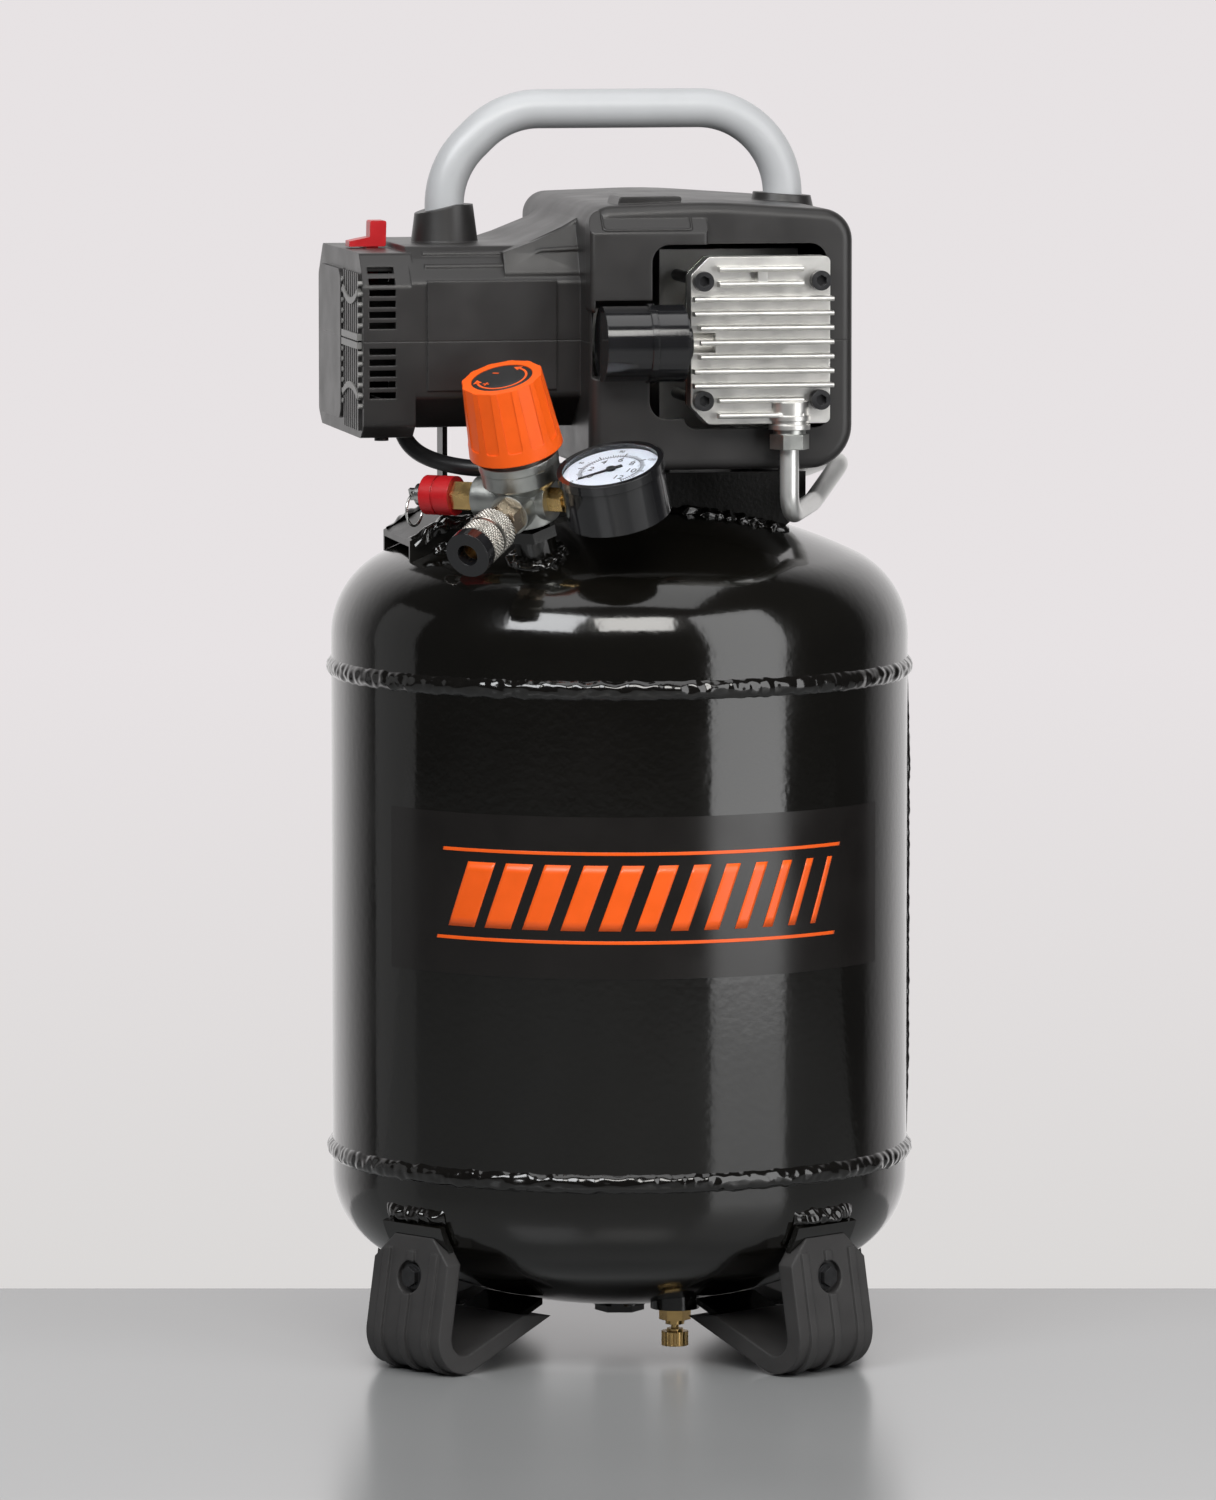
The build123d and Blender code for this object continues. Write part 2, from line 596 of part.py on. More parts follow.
def cover_screws():
    """Screws that hold the lower cover up to the upper one, seen at their heads."""
    spots = [(-133.0, side * 55.0, END_LOW_Z) for side in (-1, 1)]
    spots += [(x, side * 78.0, PUMP_LOW_Z) for x in (-20.0, 70.0) for side in (-1, 1)]
    return [rod(3.6, (x, y, z - 1.6), (x, y, z)) for x, y, z in spots]


# ---------------------------------------------------------------- handle
def handle():
    """One bent tube with two upright legs and a straight grip."""
    points = [
        (HANDLE_LEFT_X, 0, 558), (HANDLE_LEFT_X, 0, 606), (HANDLE_LEFT_X + 31, 0, HANDLE_TOP_Z),
        (HANDLE_RIGHT_X - 28, 0, HANDLE_TOP_Z), (HANDLE_RIGHT_X, 0, 612), (HANDLE_RIGHT_X, 0, 570),
    ]
    tube_body = pipe(points, TUBE_R, HANDLE_BEND_R) - pipe(points, TUBE_R - TUBE_WALL, HANDLE_BEND_R)
    for screw in handle_screws():
        tube_body = tube_body - screw
    return tube_body


def handle_screws():
    """Cross bolts that pin each leg inside its collar."""
    bolts = []
    for x, z in ((HANDLE_LEFT_X, 574.0), (HANDLE_RIGHT_X, 582.0)):
        bolts.append(rod(3.0, (x, -14.0, z), (x, 14.0, z)))
    return bolts


# ---------------------------------------------------------------- motor and crank train
STATOR_X0, STATOR_X1 = -84.0, -44.0
SHAFT_X0, SHAFT_X1 = -119.0, 34.0
FAN_X0, FAN_X1 = -117.0, -103.0
BRACKET_X0, BRACKET_X1 = -101.0, -94.0


def on_shaft(radius, x0, x1):
    return rod(radius, (x0, SHAFT_Y, SHAFT_Z), (x1, SHAFT_Y, SHAFT_Z))


def stator_core():
    """Laminated stator with two wide pole shoes."""
    ring = on_shaft(34.0, STATOR_X0, STATOR_X1) - on_shaft(27.5, STATOR_X0 - 1, STATOR_X1 + 1)
    poles = on_shaft(29.0, STATOR_X0, STATOR_X1) - on_shaft(20.6, STATOR_X0 - 1, STATOR_X1 + 1)
    wide = block(STATOR_X0, STATOR_X1, SHAFT_Y - 30, SHAFT_Y + 30, SHAFT_Z - 9, SHAFT_Z + 9)
    return ring + (poles & wide)


def field_coils():
    """Copper field coils in the stator, above and below the pole shoes and out past its ends."""
    coils = []
    for x0, x1 in ((STATOR_X0 - 9, STATOR_X0 - 0.4), (STATOR_X1 + 0.4, STATOR_X1 + 9)):
        coils.append(on_shaft(31.0, x0, x1) - on_shaft(22.0, x0 - 1, x1 + 1))
    return coils


def rotor_shaft():
    return on_shaft(6.0, SHAFT_X0, SHAFT_X1)


def armature_core():
    """Slotted armature stack on the shaft."""
    core = on_shaft(20.0, STATOR_X0, STATOR_X1)
    for k in range(12):
        a = 2 * pi * k / 12
        y, z = SHAFT_Y + 19.0 * cos(a), SHAFT_Z + 19.0 * sin(a)
        core = core - rod(2.2, (STATOR_X0 - 1, y, z), (STATOR_X1 + 1, y, z))
    return core - on_shaft(6.0, STATOR_X0 - 1, STATOR_X1 + 1)


def commutator():
    return on_shaft(12.0, -33.0, -18.0) - on_shaft(6.0, -34, -17)


def brushes():
    """Two carbon brushes in their brass holders, on either side of the commutator."""
    pairs = []
    for side in (-1, 1):
        y0, y1 = sorted((SHAFT_Y + side * 12.4, SHAFT_Y + side * 30))
        pairs.append(block(-29.0, -22.0, y0, y1, SHAFT_Z - 4, SHAFT_Z + 4))
    return pairs


def cooling_fan():
    """Fan at the motor's end that draws air in through the grille."""
    hub = on_shaft(11.0, FAN_X0, FAN_X1)
    plate = on_shaft(31.0, FAN_X1 - 2, FAN_X1)
    fan = hub + plate
    blade = block(FAN_X0, FAN_X1 - 1.5, 10.0, 30.0, -0.9, 0.9)
    for k in range(9):
        fan = fan + Location((0, SHAFT_Y, SHAFT_Z)) * Rot(360 / 9 * k, 0, 0) * blade
    return fan - on_shaft(6.0, FAN_X0 - 1, FAN_X1 + 1)


def bearings():
    """Ball bearings at both ends of the motor, drawn as closed rings."""
    rings = []
    for x0, x1 in ((BRACKET_X0, BRACKET_X1), (12.0, 22.0)):
        rings.append(on_shaft(14.0, x0, x1) - on_shaft(6.0 + RUN_GAP, x0 - 1, x1 + 1))
    return rings


def motor_bracket():
    """Cast bracket that holds the far bearing and bolts to the stator."""
    plate = on_shaft(34.0, BRACKET_X0, BRACKET_X1) - on_shaft(14.0, BRACKET_X0 - 1, BRACKET_X1 + 1)
    for k in range(4):
        a = pi / 4 + k * pi / 2
        y, z = SHAFT_Y + 24 * cos(a), SHAFT_Z + 24 * sin(a)
        plate = plate - rod(6.0, (BRACKET_X0 - 1, y, z), (BRACKET_X1 + 1, y, z))
    rim = on_shaft(34.0, BRACKET_X1, STATOR_X0) - on_shaft(32.0, BRACKET_X1, STATOR_X0)
    return plate + rim


def crankcase():
    """Open aluminium crankcase: bearing wall, cylinder flange, foot and side walls."""
    wall = block(12, 22, -38, 52, 468, 566)
    roof = block(22, 84, -38, 52, 560, 566)
    floor = block(2, 80, -38, 52, 460.0, 468)
    flange = block(12, 84, -44, -38, 464, 566)
    rim = on_shaft(34.0, STATOR_X1, 12) - on_shaft(31.8, STATOR_X1, 12)
    case = wall + roof + floor + flange + rim
    case = case - on_shaft(14.0, 10, 24)
    case = case - rod(BORE_R + 2.0, (BORE_X, -60, SHAFT_Z), (BORE_X, -30, SHAFT_Z))
    for x, y in MOUNT_SPOTS:
        case = case - rod(3.0, (x, y, 455), (x, y, 465.0))
    return case


def crank_disc():
    """Counterweighted crank with a short stub of its pin, clear of the rod's big end."""
    disc = on_shaft(14.0, 24.0, 34.0)
    weight = on_shaft(26.0, 24.0, 34.0) & block(20, 40, SHAFT_Y, SHAFT_Y + 40, 480, 570)
    pin = rod(5.0, (34.0, SHAFT_Y - THROW, SHAFT_Z), (40.0, SHAFT_Y - THROW, SHAFT_Z))
    return disc + weight + pin - on_shaft(6.0, 20, 34.0)


PIN_Y = SHAFT_Y - THROW
PISTON_FACE_Y = -90.5


def on_bore(radius, near, far):
    """Round bar on the cylinder's axis, between two distances behind the piston's face."""
    return rod(radius, (BORE_X, PISTON_FACE_Y + near, SHAFT_Z), (BORE_X, PISTON_FACE_Y + far, SHAFT_Z))


def piston():
    """Flat piston crown with a seat for its cup seal, at the top of its stroke."""
    return on_bore(BORE_R - 0.5, 3.2, 9.0) + on_bore(16.0, 0.0, 2.0) + on_bore(10.0, 2.0, 3.2)


def cup_seal():
    return on_bore(BORE_R - RUN_GAP, 2.0, 3.2) - on_bore(10.0, 0.0, 5.0)


def connecting_rod():
    """Rod cast with an eye round the crank pin bearing."""
    shank = block(BORE_X - 7, BORE_X + 7, PISTON_FACE_Y + 9, PIN_Y - 10, SHAFT_Z - 5, SHAFT_Z + 5)
    eye = rod(16.0, (BORE_X - 7, PIN_Y, SHAFT_Z), (BORE_X + 7, PIN_Y, SHAFT_Z))
    return shank + eye - rod(11.0, (30, PIN_Y, SHAFT_Z), (70, PIN_Y, SHAFT_Z))


def rod_bearing():
    return tube(11.0, 5.0, (BORE_X - 6, PIN_Y, SHAFT_Z), (BORE_X + 6, PIN_Y, SHAFT_Z))


def cylinder():
    """Finned cylinder liner between the crankcase and the valve plate."""
    liner = rod(BORE_R + 2.0, (BORE_X, -93.0, SHAFT_Z), (BORE_X, -38.0, SHAFT_Z))
    for k in range(5):
        y = -90.0 + 9.0 * k
        liner = liner + rod(BORE_R + 9.0, (BORE_X, y, SHAFT_Z), (BORE_X, y + 2.0, SHAFT_Z))
    return liner - rod(BORE_R, (BORE_X, -99, SHAFT_Z), (BORE_X, -30, SHAFT_Z))


def head_outline(width, height, notch):
    """Square plate with rounded corners, notched at its two left corners, in (x, z)."""
    x0, x1 = BORE_X - width / 2, BORE_X + width / 2
    z0, z1 = SHAFT_Z - height / 2, SHAFT_Z + height / 2
    points = [
        (x0, z0 + notch), (x0 + notch, z0), (x1, z0), (x1, z1), (x0 + notch, z1), (x0, z1 - notch),
    ]
    return rounded(points, 3.0)


HEAD_W, HEAD_H = 71.4, 84.0


def valve_plate():
    plate = along_y(head_outline(HEAD_W, HEAD_H, 9.0), -96.0, -93.5)
    for dx in (-9, 9):
        plate = plate - rod(3.0, (BORE_X + dx, -100, SHAFT_Z), (BORE_X + dx, -90, SHAFT_Z))
    return plate - head_bolt_holes()


def head_gasket():
    plate = along_y(head_outline(HEAD_W - 1, HEAD_H - 1, 9.0), -97.0, -96.0)
    plate = plate - rod(BORE_R, (BORE_X, -100, SHAFT_Z), (BORE_X, -90, SHAFT_Z))
    return plate - head_bolt_holes()


def bolt_spots():
    half = BOLT_SQUARE / 2
    return [(BORE_X + i * half, SHAFT_Z + k * half) for i in (-1, 1) for k in (-1, 1)]


def head_bolt_holes():
    holes = [rod(3.2, (x, -130, z), (x, -90, z)) for x, z in bolt_spots()]
    return holes[0] + holes[1] + holes[2] + holes[3]


def fin(x0, x1, z, thickness=2.4, reach=8.0):
    """Cooling fin with a rounded front edge."""
    half = thickness / 2
    front = HEAD_FACE_Y - reach + half
    plate = block(x0, x1, front, HEAD_FACE_Y + 0.5, z - half, z + half)
    return plate + rod(half, (x0, front, z), (x1, front, z))


FIN_PITCH = 7.24
FIN_MID_Z = SHAFT_Z - 0.8
FIN_RIGHT_X = 87.4
SHORT_FIN_OFFSETS = (29.2, 36.8)


def cylinder_head():
    """Cast head: plate, seven long fins, four short ones and the outlet boss."""
    head = along_y(head_outline(HEAD_W, HEAD_H, 9.0), HEAD_FACE_Y, -97.0)
    left = BORE_X - HEAD_W / 2 + 0.6
    for k in range(-3, 4):
        start = left if abs(k) > 1 else left + 3
        head = head + fin(start, FIN_RIGHT_X, FIN_MID_Z + k * FIN_PITCH)
    low, high = SHORT_FIN_OFFSETS
    for z in (FIN_MID_Z + low, FIN_MID_Z + high, FIN_MID_Z - low, FIN_MID_Z - high):
        head = head + fin(left + 13, FIN_RIGHT_X - 15, z, 2.6, 6.0)
    nub_low, nub_high = FIN_MID_Z + low, FIN_MID_Z + high
    head = head + block(BORE_X - 2.5, BORE_X + 2.5, HEAD_FACE_Y - 5, HEAD_FACE_Y + 0.5, nub_low, nub_high)
    head = head + rod(BOSS_R, (OUTLET_X, OUTLET_Y, BOSS_LOW_Z), (OUTLET_X, OUTLET_Y, 492.0))
    for z in (BOSS_LOW_Z, BOSS_LOW_Z + 4.5):
        head = head + rod(BOSS_R + 1.0, (OUTLET_X, OUTLET_Y, z), (OUTLET_X, OUTLET_Y, z + 2.5))
    head = head & block(0, 110, -130, -97, 450, 600)
    head = head - rod(5.6, (OUTLET_X, OUTLET_Y, 470), (OUTLET_X, OUTLET_Y, 488))
    head = head - rod(5.0, (INLET_X0, FILTER_Y, FILTER_Z), (INLET_X0 + 14, FILTER_Y, FILTER_Z))
    return head - head_bolt_holes()


OUTLET_X, OUTLET_Y = 66.5, -106.0
BOSS_R, BOSS_LOW_Z = 9.5, 478.0
FILTER_Y, FILTER_Z = -107.0, 522.0
INLET_X0 = 14.0


def head_bolts():
    """Socket-head cap screws through the head into the crankcase flange."""
    screws = []
    for x, z in bolt_spots():
        head = rod(5.0, (x, HEAD_FACE_Y - 6, z), (x, HEAD_FACE_Y, z))
        socket = hexagon(5.0, (x, HEAD_FACE_Y - 7, z), (x, HEAD_FACE_Y - 3, z))
        screws.append(head - socket + rod(3.0, (x, HEAD_FACE_Y, z), (x, -44.0, z)))
    return screws


# ---------------------------------------------------------------- intake filter
CUP_X0, CUP_X1, BODY_X0, BODY_X1 = -30.0, -7.0, -3.8, 11.5


def on_filter(radius, x0, x1):
    return rod(radius, (x0, FILTER_Y, FILTER_Z), (x1, FILTER_Y, FILTER_Z))


def filter_cup():
    """Glossy cup that closes the filter, with a wide step at its rim."""
    outer = on_filter(19.0, CUP_X0, CUP_X1) + on_filter(20.0, CUP_X1, BODY_X0)
    return outer - on_filter(16.5, CUP_X0 + 2.5, BODY_X0)


def filter_body():
    """Ring of the filter with a step and the neck that enters the head."""
    body = on_filter(19.4, BODY_X0, BODY_X1) + on_filter(16.0, BODY_X1, 13.0)
    body = body + on_filter(8.5, 13.0, INLET_X0 + 1.5)
    return body - on_filter(4.0, BODY_X0 - 1, 20) - on_filter(16.5, BODY_X0 - 1, 5)


def filter_element():
    return on_filter(15.5, -26, 4.5) - on_filter(7.0, -27, 5)


# ---------------------------------------------------------------- delivery line
NUT_LOW_Z, NUT_HIGH_Z = 468.0, 475.5
PIPE_R, PIPE_OUT_X = 4.8, 109.0


def delivery_nut():
    """Nut with its collar, which clamps the pipe up against the head's outlet boss."""
    collar_ring = rod(8.2, (OUTLET_X, OUTLET_Y, NUT_HIGH_Z), (OUTLET_X, OUTLET_Y, BOSS_LOW_Z))
    nut = hexagon(17.5, (OUTLET_X, OUTLET_Y, NUT_LOW_Z), (OUTLET_X, OUTLET_Y, NUT_HIGH_Z))
    return nut + collar_ring - rod(PIPE_R, (OUTLET_X, OUTLET_Y, 460), (OUTLET_X, OUTLET_Y, 480))


def delivery_pipe():
    """Bent metal pipe from the head, out past the right side and back to the check valve."""
    points = [
        (OUTLET_X, OUTLET_Y, 488), (OUTLET_X, OUTLET_Y, 434), (88, -62, 438),
        (PIPE_OUT_X, -30, 455), (PIPE_OUT_X + 3, 10, 455),
        (PIPE_OUT_X, CHECK_Y, PORT_Z), (CHECK_X + 10, CHECK_Y, PORT_Z),
    ]
    return pipe(points, PIPE_R, [11.0, 18.0, 20.0, 40.0, 11.0])


def check_valve_body():
    """Check valve: welded socket, hexagon and the side port that the pipe enters."""
    low = dome_z(sqrt(CHECK_X**2 + CHECK_Y**2))
    body = rod(CHECK_R, (CHECK_X, CHECK_Y, low - 12), (CHECK_X, CHECK_Y, low + 14))
    body = body + hexagon(20.0, (CHECK_X, CHECK_Y, low + 14), (CHECK_X, CHECK_Y, 455))
    body = body + hexagon(15.0, (CHECK_X + 8, CHECK_Y, PORT_Z), (CHECK_X + 17, CHECK_Y, PORT_Z))
    body = body - rod(PIPE_R, (CHECK_X + 10, CHECK_Y, PORT_Z), (CHECK_X + 30, CHECK_Y, PORT_Z))
    return body - rod(6.0, (CHECK_X, CHECK_Y, low - 13), (CHECK_X, CHECK_Y, 451))


def check_disc():
    """Loose sealing disc inside the check valve, resting on its seat."""
    low = dome_z(sqrt(CHECK_X**2 + CHECK_Y**2))
    return rod(5.2, (CHECK_X, CHECK_Y, low - 6), (CHECK_X, CHECK_Y, low - 3))


# ---------------------------------------------------------------- pressure switch, hose and gland
def pressure_switch():
    """Switch unit under the motor's top cover, with a socket for its knob."""
    body = block(-141, -121, -26, 12, 500, 549)
    return body - block(SWITCH_X - 3.2, SWITCH_X + 3.2, -5.2, 5.2, 538, 552)


def switch_knob():
    """Red knob: an upright tab on a sloped base, with a stem down into the switch."""
    low = END_TOP_Z + 0.8
    tab = along_y(rounded([(-130.5, low), (-122.2, low), (-121.8, 580), (-130.2, 580)], 1.2), -6, 6)
    slope = make_face(Polyline((-141, low), (-129, low), (-129, 572), (-141, 569.6), close=True))
    base = along_y(slope, -6, 6)
    stem = block(SWITCH_X - 3, SWITCH_X + 3, -5, 5, 541, low + 1.5)
    return tab + base + stem


def cable_gland():
    x, z = GLAND_SPOT[0], GLAND_SPOT[2]
    flange = tube(10.5, 4.2, (x, 70, z), (x, 74, z))
    nose = tube(8.0, 4.2, (x, 62, z), (x, 70, z)) + tube(7.2, 4.2, (x, 74, z), (x, 92, z))
    return flange + nose


HOSE_R = 4.2
ELBOW_R = 5.2


def hose_points():
    """Route of the pressure hose, from the regulator's elbow to the covers."""
    return [
        (-64, -72, 457), (-84, -62, 456.5), (-102, -46, 459),
        (-114, -33, 465), (-119.5, -27, 477), (-120, -26, 490),
    ]


def hose_radii(points):
    radii = []
    for a, b, c in zip(points, points[1:], points[2:]):
        u, v = Vector(*b) - Vector(*a), Vector(*c) - Vector(*b)
        angle = radians(u.get_angle(v))
        radii.append(0.45 * min(u.length, v.length) / (sin(angle / 2) / cos(angle / 2)))
    return radii


def pressure_hose():
    points = hose_points()
    radii = hose_radii(points)
    hose = pipe(points, HOSE_R, radii)
    length = FilletPolyline(*points, radius=radii).length
    print("pressure hose radii", [round(r, 1) for r in radii])
    print("pressure hose volume over section x length", round(hose.volume / (pi * HOSE_R**2 * length), 4))
    return hose


def hose_elbow():
    """Swivel elbow from the regulator's rear port to the start of the hose."""
    hex_start, hex_end = spot(COLUMN, 0, REAR_PORT_D, PORT_S), spot(COLUMN, 0, REAR_PORT_D + 6, PORT_S)
    corner = spot(COLUMN, 0, REAR_PORT_D + 10, PORT_S)
    hose_start, hose_next = [spot(PUMP, *point) for point in hose_points()[:2]]
    nut = hexagon(13.0, hex_start, hex_end)
    elbow = nut + rod(ELBOW_R, hex_end, corner) + Pos(*corner) * Sphere(ELBOW_R)
    elbow = elbow + rod(ELBOW_R, corner, hose_start)
    onward = Plane(origin=hose_start, z_dir=Vector(*hose_next) - Vector(*hose_start)).location
    return elbow - onward * Pos(0, 0, 10) * Box(20, 20, 20)


# ---------------------------------------------------------------- regulator, all along its own column
REAR_PORT_D = 17.0


def regulator_nipple():
    """Threaded nipple from the tank, with a hexagon."""
    nipple = rod(NIPPLE_R, (0, 0, -10), (0, 0, 12)) + hexagon(23.0, (0, 0, 12), (0, 0, 18))
    nipple = nipple + rod(9.0, (0, 0, 18), (0, 0, 21))
    return nipple - rod(5.0, (0, 0, -12), (0, 0, 22))


def nipple_weld():
    ring = COLUMN * Pos(0, 0, 3.0) * Torus(NIPPLE_R + 2.0, 4.5)
    return ring - top_solid - COLUMN * rod(NIPPLE_R, (0, 0, -12), (0, 0, 12))


def regulator_body():
    """Zinc body with four side ports under a wide bonnet seat."""
    body = rod(14.0, (0, 0, 21), (0, 0, 38)) + cone(14.0, 20.0, 38, 44) + rod(20.0, (0, 0, 44), (0, 0, 52))
    for end in ((15, 0), (-27, 0), (0, -19.5), (0, REAR_PORT_D)):
        body = body + rod(10.5, (0, 0, PORT_S), (*end, PORT_S))
    body = body - rod(15.0, (0, 0, 46), (0, 0, 60)) - rod(5.0, (0, 0, 20), (0, 0, 50))
    for end in ((30, 0), (-30, 0), (0, -30), (0, 30)):
        body = body - rod(5.0, (0, 0, PORT_S), (*end, PORT_S))
    return body


def bonnet():
    """Bonnet with its bright rim, and the neck that the knob turns on."""
    rim = rod(20.4, (0, 0, 52), (0, 0, 56.5)) + rod(15.0, (0, 0, 48), (0, 0, 52))
    neck = rod(14.5, (0, 0, 56.5), (0, 0, 84))
    return rim + neck - rod(11.0, (0, 0, 47), (0, 0, 81)) - rod(4.0 + RUN_GAP, (0, 0, 80), (0, 0, 86))


def spring(radius, wire, low, high, turns):
    """Closed-end coil spring along Z."""
    path = Helix(pitch=(high - low - 2 * wire) / turns, height=high - low - 2 * wire, radius=radius)
    start = Plane(origin=path @ 0, z_dir=path % 0)
    return Pos(0, 0, low + wire) * sweep(start * Circle(wire), path=path, is_frenet=True)


def regulator_spring():
    return spring(8.0, 1.1, 48.2, 69.8, 6)


def spring_seat():
    """Nut that the adjusting screw drives down onto the spring."""
    return rod(10.6, (0, 0, 70.0), (0, 0, 74.0)) - rod(4.0 + RUN_GAP, (0, 0, 69), (0, 0, 75))


def adjusting_screw():
    return rod(4.0, (0, 0, 62.0), (0, 0, 92.0))


KNOB_LOW, KNOB_HIGH = 60.0, 99.0
KNOB_R0, KNOB_R1 = 23.8, 20.6


def regulator_knob():
    """Tapered knob with twelve shallow flutes that open at its top edge."""
    body = cone(KNOB_R0, KNOB_R1, KNOB_LOW, KNOB_HIGH)
    slope = degrees(atan2(KNOB_R0 - KNOB_R1, KNOB_HIGH - KNOB_LOW))
    cutter = rounded([(-3.7, -16), (3.7, -16), (3.7, 30), (-3.7, 30)], 1.8)
    for k in range(12):
        pocket = Location(((KNOB_R0 + KNOB_R1) / 2 - 0.9, 0, (KNOB_LOW + KNOB_HIGH) / 2 + 3), (0, -slope, 0))
        flute = extrude(Plane.YZ * cutter, 5)
        body = body - Rot(0, 0, 30 * k) * pocket * flute
    body = body - rod(17.0, (0, 0, KNOB_LOW - 1), (0, 0, 91))
    body = body - rod(15.6, (0, 0, KNOB_HIGH - 1.0), (0, 0, KNOB_HIGH + 1))
    return body - rod(4.0, (0, 0, 90), (0, 0, 92.0))


def knob_disc():
    return rod(15.4, (0, 0, KNOB_HIGH - 1.0), (0, 0, KNOB_HIGH - 0.3))


# gauge
GAUGE_D = 52.0
NEEDLE_ZERO_DEG = 225.0
GAUGE_LOW, GAUGE_HIGH = 25.0, 53.0
BEZEL_LOW = GAUGE_HIGH - 5.0
DIAL_HIGH = GAUGE_HIGH - 3.4
NEEDLE_LOW = GAUGE_HIGH - 3.0
LENS_HIGH = GAUGE_HIGH - 0.8


def on_gauge(radius, low, high):
    return rod(radius, (GAUGE_D, 0, low), (GAUGE_D, 0, high))


def gauge_case():
    """Deep cup of the pressure gauge."""
    cup = on_gauge(26.2, GAUGE_LOW, BEZEL_LOW) - on_gauge(24.8, GAUGE_LOW + 2, BEZEL_LOW + 1)
    return cup - rod(4.0, (20, 0, PORT_S), (40, 0, PORT_S))


def gauge_bezel():
    ring = on_gauge(27.3, BEZEL_LOW, GAUGE_HIGH) - on_gauge(24.8, BEZEL_LOW - 1, LENS_HIGH)
    return ring - on_gauge(24.2, LENS_HIGH - 1, GAUGE_HIGH + 1)


def gauge_dial():
    return on_gauge(24.6, DIAL_HIGH - 0.6, DIAL_HIGH) - on_gauge(1.2, DIAL_HIGH - 1, DIAL_HIGH + 1)


def gauge_lens():
    return on_gauge(24.6, LENS_HIGH - 0.8, LENS_HIGH)


def gauge_needle():
    """Needle at its zero, on its spindle."""
    blade = make_face(Polyline((-6, -1.2), (-6, 1.2), (17.5, 0.3), (17.5, -0.3), close=True))
    hand = Location((GAUGE_D, 0, NEEDLE_LOW), (0, 0, NEEDLE_ZERO_DEG)) * extrude(blade, 0.5)
    hub = on_gauge(2.4, NEEDLE_LOW - 0.2, NEEDLE_LOW + 0.9)
    return hand + hub + on_gauge(1.1, NEEDLE_LOW - 6, NEEDLE_LOW)


def gauge_movement():
    """Bourdon tube and its plate, drawn as a curved tube behind the dial."""
    tube_ring = Pos(GAUGE_D, 0, GAUGE_LOW + 10) * (Torus(15.0, 2.6) - Pos(-20, -8, 0) * Box(20, 16, 12))
    plate = block(GAUGE_D - 9, GAUGE_D + 9, -6, 6, GAUGE_LOW + 3, GAUGE_LOW + 6)
    return [tube_ring, plate]


def gauge_stem():
    """Brass stem and hexagon that join the gauge to the regulator."""
    stem = hexagon(12.0, (15.0, 0, PORT_S), (23.0, 0, PORT_S))
    stem = stem + rod(4.9, (6.0, 0, PORT_S), (15.0, 0, PORT_S)) + rod(4.0, (23, 0, PORT_S), (33.0, 0, PORT_S))
    return stem - rod(1.5, (5, 0, PORT_S), (34, 0, PORT_S))


# safety valve, pointing along -X of the column
def safety_valve_body():
    body = hexagon(14.0, (-27.0, 0, PORT_S), (-40.0, 0, PORT_S))
    body = body + rod(5.0, (-27, 0, PORT_S), (-14, 0, PORT_S))
    body = body + rod(6.6, (-40, 0, PORT_S), (-57.0, 0, PORT_S))
    body = body - rod(1.8 + RUN_GAP, (-13, 0, PORT_S), (-60, 0, PORT_S))
    return body - rod(4.6, (-36, 0, PORT_S), (-55, 0, PORT_S))


def safety_valve_sleeve():
    """Coloured sleeve over the valve body, with a groove round it."""
    sleeve = tube(10.0, 6.6, (-40.2, 0, PORT_S), (-57.0, 0, PORT_S))
    groove = tube(10.8, 9.3, (-49.0, 0, PORT_S), (-50.2, 0, PORT_S))
    return sleeve - groove


def safety_spring():
    return Location((-36.5, 0, PORT_S), (0, -90, 0)) * spring(3.4, 0.5, 0.2, 18.0, 8)


EYE_D = -64.6


def safety_stem():
    """Pull stem with its cap and the eye for the ring; the eye is drilled level."""
    cap = rod(5.6, (-57.4, 0, PORT_S), (-62.0, 0, PORT_S))
    stem = rod(1.8, (-37.0, 0, PORT_S), (-57.4, 0, PORT_S))
    eye = block(-67.0, -61.5, -1.1, 1.1, PORT_S - 3.0, PORT_S + 3.0)
    dy, dz = 3 * cos(tilt), 3 * sin(tilt)
    return cap + stem + eye - rod(1.5, (EYE_D, -dy, PORT_S + dz), (EYE_D, dy, PORT_S - dz))


RING_R = 8.0
RING_WIRE_R = 0.7


def ring_centre():
    """Middle of the hanging ring, in the row's frame: straight below the eye."""
    eye = (COLUMN * Pos(EYE_D, 0, PORT_S)).position
    return eye.X, eye.Y, eye.Z - RING_R


def safety_ring():
    """Split ring through the eye, hanging straight down across the stem."""
    across = Plane(origin=ring_centre(), z_dir=(cos(turn), -sin(turn), 0)).location
    return across * Torus(RING_R, RING_WIRE_R)


# quick coupler, pointing along -Y of the column
COUPLER_BORE_R, BORE_END_D = 5.5, -46.0


def coupler_hex():
    body = hexagon(17.0, (0, -19.5, PORT_S), (0, -29.0, PORT_S))
    body = body + rod(4.9, (0, -6.0, PORT_S), (0, -19.5, PORT_S))
    body = body + rod(8.6, (0, -29.0, PORT_S), (0, -58.0, PORT_S))
    body = body - rod(3.0, (0, -5, PORT_S), (0, -40, PORT_S)) - rod(4.6, (0, -36, PORT_S), (0, -47, PORT_S))
    return body - rod(COUPLER_BORE_R, (0, BORE_END_D, PORT_S), (0, -60, PORT_S))


def coupler_end_ring():
    ring = rod(11.8, (0, -58.0, PORT_S), (0, -65.0, PORT_S))
    return ring - rod(COUPLER_BORE_R, (0, -57, PORT_S), (0, -66, PORT_S))


